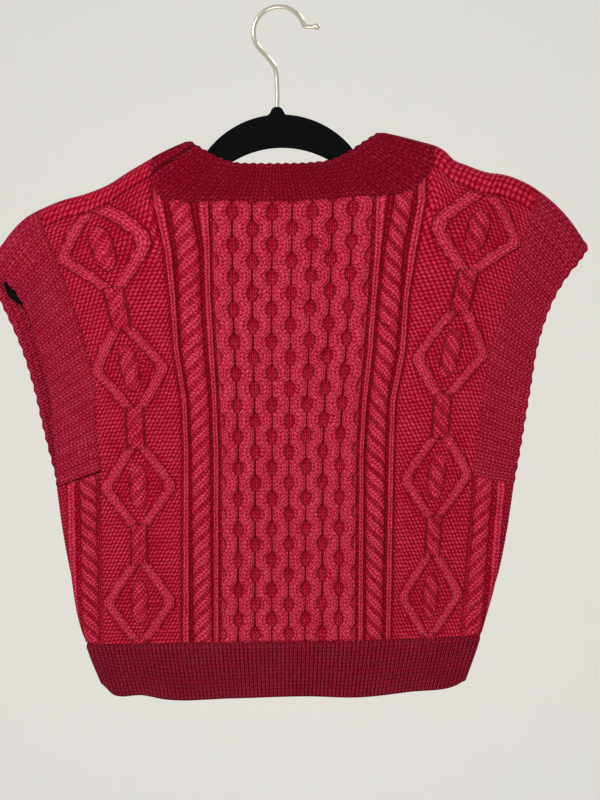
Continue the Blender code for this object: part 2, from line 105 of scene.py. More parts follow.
# %% Lamps and world
def lamp(name, place, aim, size, watts, colour, cone=None):
    """A lamp at `place` that faces `aim`; the camera doesn't see it. It is an area lamp, or with a
    `cone` a spot lamp, which doesn't light the wall."""
    light = bpy.data.lights.new(name, "SPOT" if cone else "AREA")
    if cone:
        light.spot_size = cone
        light.shadow_soft_size = size
    else:
        light.size = size
    light.energy = watts
    light.color = colour
    thing = bpy.data.objects.new(name, light)
    thing.location = place
    direction = np.array(aim) - np.array(place)
    thing.rotation_euler = (math.atan2(math.hypot(direction[0], direction[1]), -direction[2]),
                            0.0, math.atan2(direction[1], direction[0]) - math.pi / 2)
    thing.visible_camera = False
    bpy.context.scene.collection.objects.link(thing)


MIDDLE = (0.0, 0.0, -0.32)
lamp("key", (-0.85, -1.25, 0.5), MIDDLE, 0.5, 17.0, (1.0, 0.985, 0.96))
lamp("front", (0.1, -0.62, -0.38), (0.0, 0.0, -0.38), 0.3, 1.2, (1.0, 0.99, 0.97))
lamp("wall", (0.0, 0.9, -0.3), (0.0, WALL_Y, -0.3), 3.0, 11.0, (1.0, 0.99, 0.97))
lamp("behind", (0.9, 1.3, 1.0), MIDDLE, 0.15, 60.0, (1.0, 1.0, 1.0), cone=0.5)

world = bpy.data.worlds.new("pale room")
world.use_nodes = True
world.node_tree.nodes["Background"].inputs["Color"].default_value = (0.82, 0.82, 0.81, 1)
world.node_tree.nodes["Background"].inputs["Strength"].default_value = 0.68
bpy.context.scene.world = world
bpy.context.scene.view_settings.view_transform = "Standard"

# %% [markdown]
# ## The sheet that everything is knitted on
# The vest hangs nearly flat: a near sheet and a far sheet, which meet in rounded folds along the
# shoulders and down the sides. One rule gives the depth of every point: a quarter round that rises
# from the nearest fold, then broad swells where the cloth stands away. Because panels, ribs and
# bands all use this rule, they meet without fitting. Tables are (x, z) in millimetres.

# %% Fold lines
FOLD = 9.0
DROP = 15.0
SHOULDER = {
    "left": [(-70.5, -105.7), (-85, -110.5), (-99.5, -119.0), (-123, -133), (-132, -139),
             (-153, -148), (-172, -153.3), (-188, -160), (-201, -167.5), (-212.5, -179),
             (-220.5, -190), (-233, -202)],
    "right": [(78.5, -99.0), (96.5, -101.6), (114, -106.7), (130, -113), (139, -121.5),
              (148, -125), (165, -131), (179, -133), (195, -139), (211, -149.3),
              (227.5, -165), (239.5, -181.7), (245, -190.8)]}
SIDE = {
    "left": [(-176, -380), (-171, -416), (-164, -453), (-157, -487), (-149, -513), (-139, -537)],
    "right": [(186, -376.5), (179, -422), (174, -446), (164, -478), (156, -506), (146, -534)]}
LEAD = {"left": ((14, 7), (-9, -9), (-20, 40)), "right": ((-14, 6), (9, -12), (20, 40))}
HEM_LEAD = (0, -14)
SWELLS = [(NEAR, 5, -330, 190, 200, 4.5), (NEAR, -60, -470, 90, 110, 1.6),
          (NEAR, 95, -455, 80, 120, 1.4), (NEAR, -120, -240, 60, 110, 1.8),
          (NEAR, 130, -250, 60, 110, 1.8), (FAR, 5, -340, 190, 200, 2.0)]
SWELL_START = 40.0
FOLD_STEPS = 41


def smooth(points, where):
    """Points at the fractions `where` along a cubic Hermite curve through `points`."""
    points = np.asarray(points, float)
    knots = np.concatenate([[0.0], np.cumsum(np.linalg.norm(np.diff(points, axis=0), axis=1))])
    knots /= knots[-1]
    slopes = np.gradient(points, knots, axis=0)
    where = np.clip(np.asarray(where, float), 0.0, 1.0)
    at = np.clip(np.searchsorted(knots, where, side="right") - 1, 0, len(knots) - 2)
    span = (knots[at + 1] - knots[at])[:, None]
    s = (where - knots[at])[:, None] / span
    return ((2 * s**3 - 3 * s**2 + 1) * points[at] + (s**3 - 2 * s**2 + s) * span * slopes[at]
            + (3 * s**2 - 2 * s**3) * points[at + 1] + (s**3 - s**2) * span * slopes[at + 1])


def along(points, count):
    """`count` points evenly along the smooth curve through `points`."""
    return smooth(points, np.linspace(0.0, 1.0, count))


def height_on(points, x):
    """The curve's z at each x; the curve runs one way in x."""
    line = along(points, 400)
    line = line[np.argsort(line[:, 0])]
    return np.interp(x, line[:, 0], line[:, 1])


def fold_segments():
    """All fold lines as short straight segments, each run on past its ends by its lead."""
    lines = []
    for edge in ("left", "right"):
        neck, tip, underarm = LEAD[edge]
        for points, first, last in ((SHOULDER[edge], neck, tip), (SIDE[edge], underarm, HEM_LEAD)):
            line = along(points, FOLD_STEPS)
            line = np.vstack([line[0] + first, line, line[-1] + last])
            lines.append(np.stack([line[:-1], line[1:]], axis=1))
    return np.concatenate(lines)


SEGMENTS = fold_segments()


def nearest_fold(points):
    """Distance of each (x, z) from the nearest fold, and the unit direction away from the fold."""
    flat = points.reshape(-1, 2)
    distance = np.empty(len(flat))
    away = np.empty((len(flat), 2))
    first, span = SEGMENTS[None, :, 0], SEGMENTS[None, :, 1] - SEGMENTS[None, :, 0]
    for start in range(0, len(flat), 15000):
        block = slice(start, start + 15000)
        gap = flat[block, None] - first
        part = np.clip((gap * span).sum(-1) / (span**2).sum(-1), 0.0, 1.0)
        gap = gap - part[..., None] * span
        size = np.sqrt((gap**2).sum(-1))
        best = np.argmin(size, axis=1)
        rows = np.arange(len(best))
        distance[block] = size[rows, best]
        away[block] = gap[rows, best] / np.maximum(size[rows, best], 1e-9)[:, None]
    return distance.reshape(points.shape[:-1]), away.reshape(points.shape)


def lay(points, side):
    """Middle of the wall and its outward normal for each (x, z).

    Depth is a quarter circle of radius FOLD that rises from the fold, and then each swell, an
    elliptic bump that fades in away from the fold. The normal leans away from the fold by the
    circle's slope. `side` is NEAR or FAR, or an array of them."""
    distance, away = nearest_fold(points)
    part = 1.0 - np.clip(distance / FOLD, 0.0002, 1.0)
    depth = FOLD * np.sqrt(1.0 - part**2)
    slope = part / np.sqrt(1.0 - part**2)
    fade = np.clip((distance - FOLD) / SWELL_START, 0.0, 1.0)
    fade = fade * fade * (3.0 - 2.0 * fade)
    side = np.broadcast_to(np.asarray(side, float), distance.shape)
    for of_side, x, z, half_width, half_height, height in SWELLS:
        off = ((points[..., 0] - x) / half_width)**2 + ((points[..., 1] - z) / half_height)**2
        depth = depth + np.where(side == of_side, fade * height * np.maximum(1.0 - off, 0.0)**2, 0.0)
    middle = np.stack([points[..., 0], side * depth, points[..., 1]], axis=-1)
    normal = np.stack([-slope * away[..., 0], side, -slope * away[..., 1]], axis=-1)
    return middle, normal / np.linalg.norm(normal, axis=-1, keepdims=True)


print("fold segments:", len(SEGMENTS))

# %% [markdown]
# ## From a grid of stitches to a mesh
# Each knitted piece is a grid: columns follow the wales, rows follow the courses, four steps to a
# stitch. The outer skin keeps every step, because it carries the relief. The inner skin is hidden,
# so it keeps one point in four. Along the piece's edges the inner skin takes every point again, so
# that the rim closes both skins into one thin shell. Solidify would double every face instead.

# %% Shells
STEP = 4


def grid_faces(index, keep):
    """Quads of a grid of indices where `keep` is true."""
    quads = np.stack([index[:-1, :-1], index[:-1, 1:], index[1:, 1:], index[1:, :-1]], axis=-1)
    return quads[keep]


def rim_edges(index, keep, ring):
    """Directed edges round the kept cells, each with its face on the left."""
    pad = np.pad(keep, 1)
    if ring:
        pad[1:-1, 0], pad[1:-1, -1] = keep[:, -1], keep[:, 0]
    low = keep & ~pad[:-2, 1:-1]
    high = keep & ~pad[2:, 1:-1]
    left = keep & ~pad[1:-1, :-2]
    right = keep & ~pad[1:-1, 2:]
    edges = [np.stack([index[:-1, :-1][low], index[:-1, 1:][low]], -1),
             np.stack([index[1:, 1:][high], index[1:, :-1][high]], -1),
             np.stack([index[1:, :-1][left], index[:-1, :-1][left]], -1),
             np.stack([index[:-1, 1:][right], index[1:, 1:][right]], -1)]
    return np.concatenate(edges)


def coarse_faces(index, keep, on_rim):
    """One face for each STEP x STEP block: its corners, and every point that lies on the rim."""
    run = np.arange(STEP)
    zero = np.zeros(STEP, int)
    down = np.concatenate([zero, run, zero + STEP, STEP - run])
    over = np.concatenate([run, zero + STEP, STEP - run, zero])
    faces = []
    for i, j in np.argwhere(keep[::STEP, ::STEP]) * STEP:
        loop = index[i + down, j + over]
        wanted = on_rim[loop]
        wanted[::STEP] = True
        faces.append(loop[wanted])
    return faces


def shell(name, outer, inner, values, keep=None, ring=False, flip=False):
    """A closed thin shell from an outer and an inner grid of points in millimetres.

    `values` gives the material its numbers for each point, `keep` says which blocks exist, and
    `ring` joins the last column to the first. `flip` turns the faces round."""
    rows, columns = outer.shape[0] - 1, outer.shape[1] - 1
    if keep is None:
        keep = np.ones((rows // STEP, columns // STEP), bool)
    keep = np.repeat(np.repeat(keep, STEP, axis=0), STEP, axis=1)
    index = np.arange((rows + 1) * (columns + 1)).reshape(rows + 1, columns + 1)
    if ring:
        index[:, -1] = index[:, 0]
    count = index.size
    edges = rim_edges(index, keep, ring)
    on_rim = np.zeros(count, bool)
    on_rim[edges] = True
    quads = grid_faces(index, keep)
    rim = np.stack([edges[:, 1], edges[:, 0], edges[:, 0] + count, edges[:, 1] + count], -1)
    lining = [face[::-1] + count for face in coarse_faces(index, keep, on_rim)]
    loops = np.concatenate([quads.ravel(), rim.ravel()] + lining)
    sizes = np.concatenate([np.full(len(quads) + len(rim), 4), [len(face) for face in lining]])
    if flip:
        ends = np.cumsum(sizes)
        owner = np.repeat(np.arange(len(sizes)), sizes)
        place = np.arange(len(loops)) - (ends - sizes)[owner]
        loops = loops[ends[owner] - 1 - place]
    used, loops = np.unique(loops, return_inverse=True)
    points = np.concatenate([outer.reshape(-1, 3), inner.reshape(-1, 3)])[used] * MM
    mesh = bpy.data.meshes.new(name)
    mesh.vertices.add(len(points))
    mesh.vertices.foreach_set("co", points.ravel())
    mesh.loops.add(len(loops))
    mesh.loops.foreach_set("vertex_index", loops.ravel().astype(np.int32))
    mesh.polygons.add(len(sizes))
    mesh.polygons.foreach_set("loop_start", (np.cumsum(sizes) - sizes).astype(np.int32))
    mesh.polygons.foreach_set("use_smooth", np.ones(len(sizes), bool))
    mesh.update(calc_edges=True)
    for key, value in values.items():
        whole = np.concatenate([value.ravel(), value.ravel()])[used]
        mesh.attributes.new(key, "FLOAT", "POINT").data.foreach_set("value", whole)
    thing = bpy.data.objects.new(name, mesh)
    bpy.context.scene.collection.objects.link(thing)
    triangles = int((sizes - 2).sum())
    print(f"{name}: {len(points)} points, {triangles} triangles")
    return thing


def grid_normals(grid, ring=False):
    """Unit normals of a grid of points: the cross product of its two directions."""
    wrapped = np.concatenate([grid[:, -2:-1], grid, grid[:, 1:2]], axis=1) if ring else grid
    over = np.gradient(wrapped, axis=1)[:, 1:-1] if ring else np.gradient(grid, axis=1)
    up = np.gradient(grid, axis=0)
    normal = np.cross(over, up)
    return normal / np.maximum(np.linalg.norm(normal, axis=-1, keepdims=True), 1e-9)


def cut_of(grid, keep=None):
    """The flat cut of a grid of cloth, in metres: its longest row and column, and its area, half
    the cross product of each cell's diagonals. `keep` says which blocks of cells are cloth."""
    used = np.ones(np.array(grid.shape[:2]) - 1)
    if keep is not None:
        used = np.kron(keep, np.ones((STEP, STEP)))
    one, two = grid[1:, 1:] - grid[:-1, :-1], grid[1:, :-1] - grid[:-1, 1:]
    area = (np.linalg.norm(np.cross(one, two), axis=-1) * used).sum() / 2 * MM * MM
    width = (np.linalg.norm(grid[:-1, 1:] - grid[:-1, :-1], axis=-1) * used).sum(axis=1).max() * MM
    length = (np.linalg.norm(grid[1:, :-1] - grid[:-1, :-1], axis=-1) * used).sum(axis=0).max() * MM
    return float(width), float(length), float(area)


# %% [markdown]
# ## The stitches
# Every stitch pattern is a small formula of two numbers: how far across the wales a point lies, and
# how far along the courses. A knit stitch is a V of two legs, a moss ground is rows of purl bumps
# laid like bricks, and a rope is a row of fat slanted strands. The formulas here give the relief of
# the mesh. The yarn material repeats the finest ones, the legs and the bumps.

# %% Stitch formulas
def knit(across, along_rows):
    """Relief 0..1 of knit stitches: each is a V of two legs, either side of the wale's middle. A leg
    is a grain, 1 - (a squared + b squared) / 1.5, with a across it and b along it, both -1 to 1,
    and its row starts higher the further it is from the middle."""
    out = np.abs(np.mod(across, 1.0) * 2.0 - 1.0)
    a = 2.0 * np.mod(2.0 * across, 1.0) - 1.0
    b = 2.0 * np.mod(along_rows - 0.6 * out, 1.0) - 1.0
    return np.clip(1.0 - (a**2 + b**2) / 1.5, 0.0, 1.0)


def purl_rows(along_rows):
    """Relief 0..1 of a purl ground: one low wave to each course."""
    return 0.5 + 0.5 * np.cos(2.0 * math.pi * along_rows)


def rounded(offset):
    """A half circle: the square root of 1 - offset squared, and 0 outside."""
    return np.sqrt(np.clip(1.0 - offset**2, 0.0, 1.0))


def rope(offset, course, lean, pitch=4.0):
    """A two-strand rope, 4 stitches wide: relief, and the place across and along its strands.

    The strands are slanted bands: the course plus a slant in `offset`, steeper at the edges, is
    divided by the pitch, and each whole number is a new strand. Each band is round across."""
    turn = (course + lean * (offset + 0.10 * offset**3)) / pitch
    band = 2.0 * (turn - np.floor(turn)) - 1.0
    relief = rounded(offset / 2.06)**0.8 * (0.2 + 0.8 * rounded(band)**0.85)
    return relief, band, 0.70 * course - lean * 0.95 * offset


def running_mean(values, reach, axis):
    """Mean of the values within `reach` steps along one axis, from a running total."""
    pad = [(0, 0), (0, 0)]
    pad[axis] = (reach + 1, reach)
    total = np.cumsum(np.pad(values, pad, mode="edge"), axis=axis)
    size = values.shape[axis]
    high = np.take(total, np.arange(size) + 2 * reach + 1, axis=axis)
    return (high - np.take(total, np.arange(size), axis=axis)) / (2 * reach + 1)


# Painted shade: the yarn material turns a point darker the lower it sits below the cloth round it, and
# lighter above it.
def standing(height):
    """How far each point stands above the cloth round it: its height less two running means."""
    wide = running_mean(running_mean(height, 8, 0), 8, 1)
    close = running_mean(running_mean(height, 3, 0), 3, 1)
    return height - 0.7 * wide - 0.3 * close


def softened(height):
    """The relief as wool takes it: each point is the mean of itself and its near neighbours."""
    return running_mean(running_mean(height, 1, 0), 1, 1)


def ease(value, low, high):
    """0 below `low`, 1 above `high`, and a smooth step between."""
    part = np.clip((value - low) / (high - low), 0.0, 1.0)
    return part * part * (3.0 - 2.0 * part)


# %% [markdown]
# ## The cable panel
# Counted outwards from the middle in stitches, the panel has a honeycomb of 16, so 32 in all, then a
# rib of two, a rope of four, another rib of two, and a moss ground with diamonds, out to the armhole
# band. Both halves mirror each other. The grid's columns aren't fixed: they travel with the cables,
# so that each strand keeps the same columns from hem to neck and its stitches stay crisp.

# %% Cable chart
COURSES = 113
HONEY_HEIGHT, RIB_HEIGHT, ROPE_HEIGHT, DIAMOND_HEIGHT = 1.8, 1.5, 2.4, 1.7
HONEY_PERIOD, HONEY_START = 8.0, 6.2
DIAMOND_MIDDLE, DIAMOND_REACH, DIAMOND_PERIOD, DIAMOND_START = 38.5, 7.8, 30.4, 11.3
STRAND = 1.85
DIAMOND_STRAND = 1.6
SPLIT = 16.5


def honey_swing(course):
    """+1 where the middle strands close, -1 where they are open: a flattened cosine."""
    wave = np.cos(2.0 * math.pi * (course - HONEY_START) / HONEY_PERIOD)
    return np.tanh(1.2 * wave) / math.tanh(1.2)


def honey_strand(group, course):
    """Middle and both half widths of the top strand of a group of four stitches."""
    middle = 4.0 * group + 2.0 + np.where(group % 2 == 0, -1.0, 1.0) * honey_swing(course)
    low = np.minimum(STRAND, middle - 4.0 * group - 0.03)
    high = np.minimum(STRAND, 4.0 * group + 3.97 - middle)
    return middle, low, high


def diamond_reach(course):
    """Stitches from the diamond's middle to each strand: 1 in a crossing, most at mid diamond."""
    rows = np.abs(np.mod(course - DIAMOND_START + DIAMOND_PERIOD / 2, DIAMOND_PERIOD)
                  - DIAMOND_PERIOD / 2)
    return np.clip(DIAMOND_REACH - 0.69 * np.maximum(rows - 0.8, 0.0), 1.0, None)


def column_knots(course):
    """Stitch number and column number of each place where the columns are pinned, at a course."""
    places, columns = [0.0], [0]
    for group in range(4):
        middle, low, high = honey_strand(np.array(group), course)
        places += [middle - low, middle, middle + high, 4.0 * group + 4.0]
        columns += [columns[-1] + 3, columns[-1] + 7, columns[-1] + 11, columns[-1] + 14]
    for place, steps in ((SPLIT, 2), (17.0, 2), (19.0, 8), (20.0, 3), (24.0, 16), (25.0, 3),
                         (27.0, 8), (28.0, 4)):
        places.append(place)
        columns.append(columns[-1] + steps)
    reach = diamond_reach(course)
    inner, outer = DIAMOND_MIDDLE - reach, DIAMOND_MIDDLE + reach
    half = np.minimum(DIAMOND_STRAND, reach)
    for place, steps in ((inner - half, 20), (inner, 4), (inner + half, 4), (DIAMOND_MIDDLE, 16),
                         (outer - half, 16), (outer, 4), (outer + half, 4), (48.0, 20)):
        places.append(float(place))
        columns.append(columns[-1] + steps)
    return np.array(places), np.array(columns)


def half_columns():
    """Stitches from the middle, for each course step (rows) and each column (columns)."""
    courses = np.linspace(0.0, COURSES, COURSES * STEP + 1)
    lines = []
    for course in courses:
        places, columns = column_knots(course)
        lines.append(np.interp(np.arange(columns[-1] + 1), columns, places))
    return courses, np.array(lines)


COURSE_STEPS, HALF = half_columns()
SPLIT_COLUMN = int(np.argmin(np.abs(HALF[0] - SPLIT)))
print("columns in half the panel:", HALF.shape[1] - 1, "split at", SPLIT_COLUMN)


# %% Relief of the cable panel
def cell_floor(away, course):
    """Height between the honeycomb's strands: high at the foot of a cell, where the strands part,
    and deep under its top, where they cross over it, with a slit up the cell's middle."""
    cell = np.round(away / 4.0)
    centre = HONEY_START + np.where(cell % 2 == 1, 0.0, HONEY_PERIOD / 2)
    up = np.mod(course - centre + HONEY_PERIOD / 2, HONEY_PERIOD) - HONEY_PERIOD / 2
    slit = 0.6 * np.exp(-((away - 4.0 * cell) / 0.3)**2)
    return 1.1 - 1.4 * ease(up, -0.8, 2.6) - slit


def cable_relief(stitch, course):
    """Height in millimetres and the yarn's place across, along and in moss, for the back.

    Each zone adds its own formula where the stitch number lies inside it."""
    away = np.abs(stitch)
    height = np.full(away.shape, -0.45)
    across, rows = away.copy(), course + 0.0 * away
    is_moss = np.zeros(away.shape)
    # honeycomb
    group = np.clip(np.floor(away / 4.0), 0, 3)
    middle, low, high = honey_strand(group, course)
    offset = away - middle
    half = np.where(offset < 0, low, high)
    place = offset / half
    honey = away <= 16.02
    on_strand = honey & (np.abs(place) <= 1.0)
    swing = honey_swing(course) + 0.0 * away
    crest = HONEY_HEIGHT + 0.4 * (1.0 - swing**2)
    hole = cell_floor(away, course)
    edge = np.where(half < STRAND - 0.01, 0.55, hole)
    top = edge + (crest - edge) * rounded(place)
    height = np.where(honey, hole, height)
    height = np.where(on_strand, top, height)
    across = np.where(on_strand, place, across)
    # ribs either side of the rope
    for centre in (18.0, 26.0):
        offset = away - centre
        rib = np.abs(offset) <= 1.0
        pair = 0.35 * rounded(offset) + 0.65 * rounded(2.0 * np.abs(offset) - 1.0)
        height = np.where(rib, -0.6 + (RIB_HEIGHT + 0.6) * pair, height)
        across = np.where(rib, (offset + 1.0) / 2.0, across)
    gutter = ((away > 16.02) & (away < 17)) | ((away > 19) & (away < 20)) \
        | ((away > 24) & (away < 25)) | ((away > 27) & (away < 28))
    height = np.where(gutter, -1.3 + 0.5 * purl_rows(rows), height)
    # rope
    offset = away - 22.0
    relief, band, length = rope(offset, course + 0.0 * away, 1.0)
    on_rope = np.abs(offset) <= 2.0
    height = np.where(on_rope, -0.8 + (ROPE_HEIGHT + 0.8) * relief, height)
    across = np.where(on_rope, 0.75 * band, across)
    rows = np.where(on_rope, length, rows)
    # moss ground with diamonds
    ground = away >= 28.0
    height = np.where(ground, -0.4 + 0.5 * purl_rows(rows), height)
    is_moss = np.where(ground | gutter, 1.0, is_moss)
    reach = diamond_reach(course) + 0.0 * away
    half = np.minimum(DIAMOND_STRAND, reach)
    for sign in (-1.0, 1.0):
        offset = (away - DIAMOND_MIDDLE - sign * reach) / half
        strand = ground & (np.abs(offset) <= 1.0)
        height = np.where(strand, -0.2 + (DIAMOND_HEIGHT + 0.2) * rounded(offset * 0.98), height)
        across = np.where(strand, offset, across)
        is_moss = np.where(strand, 0.0, is_moss)
    # the crossings, and the small rope in the middle of each diamond
    offset = away - DIAMOND_MIDDLE
    relief, band, length = rope(offset, course + 1.3 + 0.0 * away, 1.0, 4.6)
    rows_off = np.abs(np.mod(course - DIAMOND_START + DIAMOND_PERIOD / 2, DIAMOND_PERIOD)
                      - DIAMOND_PERIOD / 2) + 0.0 * away
    motif = rounded(rows_off / 5.8)
    crossing = ease(-reach, -1.6, -1.02)
    wide = np.where(crossing > 0.0, 2.0, 2.3 * motif**0.8)
    cable = ground & (np.abs(offset) < wide)
    relief = relief * rounded(offset / (wide + 0.05))**0.5
    share = np.maximum(motif**0.5, crossing)
    height = np.where(cable, np.maximum(height * (1 - crossing),
                                        -0.3 + 1.7 * relief * share), height)
    across = np.where(cable, 0.75 * band, across)
    rows = np.where(cable, length, rows)
    is_moss = np.where(cable, 0.0, is_moss)
    aligned = (is_moss < 0.5) & ~on_rope & ~cable & ~gutter
    height = height + np.where(aligned, 0.5 * (knit(across, rows) - 0.5), 0.0)
    return height, across, rows, is_moss


# %% [markdown]
# ## Where each stitch hangs
# The wales aren't parallel: the panel is drawn in towards the hem, and the rib and rope lines lean
# outwards at the shoulders. A honeycomb stitch is 3.3 mm wide low down and 4.0 mm at the neck, and a
# course is 3.1 mm high. A short table gives the x of the main wale lines at seven heights. The
# courses run between the hem and the neck and shoulder seams, a little closer together at the hem.
# Each grid point is found by going back and forth between the two rules a few times.

# %% Wales and courses
WALES = [-48, -28, -26, -24, -20, -18, -16, 16, 18, 20, 24, 26, 28, 48]
WALE_LINES = [  # z, then the x of each wale above except the outermost two
    (-153, -102.7, -96.4, -86.9, -71.1, -58.5, -52.9, 74.3, 79.4, 91.6, 105.9, 112.8, 119.3),
    (-193, -93.2, -87.7, -80.6, -63.2, -56.1, -52.1, 72.3, 78.2, 83.7, 98.0, 105.9, 111.4),
    (-232, -88.5, -83.3, -78.6, -61.6, -55.3, -51.4, 70.3, 74.8, 79.8, 95.6, 100.0, 104.7),
    (-272, -85.3, -80.6, -76.6, -59.2, -52.9, -49.0, 67.2, 71.9, 76.6, 92.4, 97.6, 102.3),
    (-311, -79.0, -74.3, -70.3, -55.3, -50.6, -46.6, 63.6, 67.5, 71.9, 85.3, 89.7, 94.4),
    (-351, -77.4, -72.9, -68.7, -54.1, -49.4, -45.0, 61.1, 65.2, 68.7, 83.7, 88.5, 92.8),
    (-503, -78.2, -73.5, -67.2, -52.9, -49.5, -45.0, 60.0, 64.4, 68.7, 81.4, 86.1, 90.5)]
ARMHOLES = {  # seam x, z; back edge x, z; front edge x, z; from the underarm up
    "left": [(-141.0, -367.0, -176.0, -380.0, -176.0, -380.0),
             (-145.0, -337.0, -178.0, -340.0, -187.0, -342.0),
             (-146.5, -297.0, -182.5, -299.0, -197.0, -300.0),
             (-153.5, -268.5, -190.5, -270.0, -206.0, -271.0),
             (-167.0, -226.0, -202.0, -236.0, -221.0, -237.0),
             (-179.0, -194.0, -213.5, -220.0, -227.0, -225.0),
             (-187.0, -175.5, -222.5, -214.5, -230.5, -217.5)],
    "right": [(152.5, -370.5, 186.0, -376.5, 186.0, -376.5),
              (156.5, -347.5, 191.0, -347.5, 188.5, -347.5),
              (161.0, -303.0, 198.5, -303.0, 195.5, -303.0),
              (168.0, -266.0, 205.0, -266.0, 202.0, -267.0),
              (182.5, -224.5, 222.0, -222.5, 218.5, -224.0),
              (189.5, -196.0, 230.5, -210.0, 228.5, -211.5),
              (200.0, -162.0, 236.5, -203.0, 235.5, -204.0)]}
ARMHOLE_FOLD = {"left": (-190.0, -161.0), "right": (205.0, -145.0)}
NECK_BACK_EDGE = [(-64.8, -109.8), (-57.7, -113.8), (-48.2, -119.3), (-37.1, -122.8),
                  (-16.6, -124.0), (4.7, -124.0), (26.1, -123.2), (41.9, -120.9),
                  (54.5, -114.9), (64.0, -108.6), (71.9, -103.5)]
NECK_BACK_SEAM = [(-101.1, -134.0), (-95.0, -149.0), (-75.1, -154.1), (-51.4, -153.5),
                  (-22.9, -154.1), (6.3, -154.1), (36.3, -152.5), (62.4, -150.3),
                  (86.1, -148.5), (106.7, -143.6), (120.5, -125.5)]
NECK_FRONT_EDGE = [(-67.5, -117.0), (-57.0, -136.0), (-38.0, -156.0), (4.0, -170.0),
                   (46.0, -155.0), (66.0, -134.0), (75.5, -112.0)]
NECK_FRONT_SEAM = [(-101.1, -134.0), (-88.0, -158.0), (-60.0, -184.0), (4.0, -200.0),
                   (66.0, -182.0), (98.0, -154.0), (120.5, -125.5)]
NECK_FOLD = {"left": ((-70.5, -105.7), (-99.5, -119.0)), "right": ((78.5, -99.0), (122.5, -110.0))}
HEM_TOP = [(-153.0, -504.5), (-80.0, -503.0), (0.0, -502.0), (80.0, -500.5), (157.5, -497.5)]
HEM_BOTTOM = [(-138.5, -537.0), (-131.0, -543.5), (-107.0, -544.3), (-91.0, -547.3),
              (-38.0, -546.7), (23.0, -545.1), (63.0, -545.9), (103.5, -541.5),
              (138.0, -537.2), (144.5, -534.5)]
PANEL_EDGE_AT_HEM = {"left": -138.0, "right": 142.5}
LEVEL = [(-187, -172), (-140, -158), (-90, -154), (0, -154), (90, -147), (150, -140), (200, -158)]
TIGHT = 0.055           # how much closer the courses are at the hem than half way up


def panel_edge(edge):
    """The x and z of the armhole seam, run on straight to the hem."""
    seam = along(np.array(ARMHOLES[edge])[:, :2], 80)
    hem = (PANEL_EDGE_AT_HEM[edge], HEM_TOP[0][1] if edge == "left" else HEM_TOP[-1][1])
    return np.vstack([[hem], seam])


def wale_lines(z):
    """x of each wale in WALES at a height; the outermost two follow the armhole seams."""
    table = np.array(WALE_LINES)[::-1]
    left, right = panel_edge("left"), panel_edge("right")
    lines = [np.interp(z, left[:, 1], left[:, 0])]
    lines += [np.interp(z, table[:, 0], table[:, k]) for k in range(1, table.shape[1])]
    lines.append(np.interp(z, right[:, 1], right[:, 0]))
    return lines


def wale_x(stitch, z):
    """x of a stitch at a height: between the two wale lines beside it, in proportion."""
    lines = wale_lines(z)
    x = np.zeros(np.broadcast(stitch, z).shape)
    for k in range(len(WALES) - 1):
        part = (stitch - WALES[k]) / (WALES[k + 1] - WALES[k])
        last = k == len(WALES) - 2
        inside = (part >= 0) & ((part < 1) | (last & (part <= 1.0001)))
        x = np.where(inside, lines[k] + part * (lines[k + 1] - lines[k]), x)
    return x


def shoulder_seam(edge, corner, count):
    """The seam from the armhole to the neck, DROP below the shoulder fold."""
    start, end = ARMHOLE_FOLD[edge], NECK_FOLD[edge][1]
    x = np.linspace(start[0], end[0], count)
    fold = np.stack([x, height_on(SHOULDER[edge], x)], axis=1)
    part = np.linspace(0.0, 1.0, count)[:, None]
    first = np.array(ARMHOLES[edge][-1][:2]) - fold[0]
    last = np.array(corner) - fold[-1]
    return fold, fold + first * (1 - part) + last * part


def back_top():
    """Left shoulder seam, neck seam and right shoulder seam as one line."""
    left = shoulder_seam("left", NECK_BACK_SEAM[0], 30)[1]
    right = shoulder_seam("right", NECK_BACK_SEAM[-1], 30)[1][::-1]
    return np.vstack([left[:-1], along(NECK_BACK_SEAM, 80), right[1:]])


BACK_TOP = back_top()


def course_z(x, part, top):
    """Height of a course at x: between the hem and a level line, then drawn to the real top."""
    low = height_on(HEM_TOP, x)
    level = height_on(LEVEL, x)
    rise = part * (1.0 - TIGHT) + TIGHT * part**2
    end = np.interp(x, top[:, 0], top[:, 1])
    return low + (level - low) * rise + (end - level) * ease(part, 0.86, 1.0)


def back_grid(stitch, part):
    """(x, z) of each stitch: x from its wale at a height, then the height of its course there."""
    z = -503.0 + 350.0 * part + 0.0 * stitch
    for _ in range(6):
        x = wale_x(stitch, z)
        z = course_z(x, part, BACK_TOP)
    return np.stack([wale_x(stitch, z), z], axis=-1)


def side_x(edge, z):
    """x of the side fold at a height."""
    line = along(SIDE[edge], FOLD_STEPS)[::-1]
    return np.interp(z, line[:, 1], line[:, 0])


# %% Side strips
STRIP_COLUMNS = 44
STRIP_STITCH = 3.3
SIDE_GAP = 0.01


def strip_grid(edge, inner):
    """(x, z) of the strip beside the panel, from the side fold in to the panel's line `inner`.

    Columns are even in the length of cloth round the fold: the fold's quarter circle first."""
    inward = 1.0 if edge == "left" else -1.0
    drop = ARMHOLES[edge][0][3] - inner[-1, 1]
    outer_z = inner[:, 1] + drop * np.linspace(0.0, 1.0, len(inner))**2
    outer_x = side_x(edge, outer_z)
    width = np.abs(inner[:, 0] - outer_x)[:, None]
    arc = FOLD * math.pi / 2
    cloth = np.linspace(0.0, 1.0, STRIP_COLUMNS + 1)[None] * (width - FOLD + arc)
    turned = FOLD * (1.0 - np.cos(np.clip(cloth / FOLD, 0.0, math.pi / 2)))
    distance = np.maximum(np.where(cloth < arc, turned, cloth - arc + FOLD), SIDE_GAP)
    part = distance / width
    x = outer_x[:, None] + inward * distance
    z = outer_z[:, None] + (inner[:, 1] - outer_z)[:, None] * part
    return np.stack([x, z], axis=-1), width - FOLD + arc - cloth


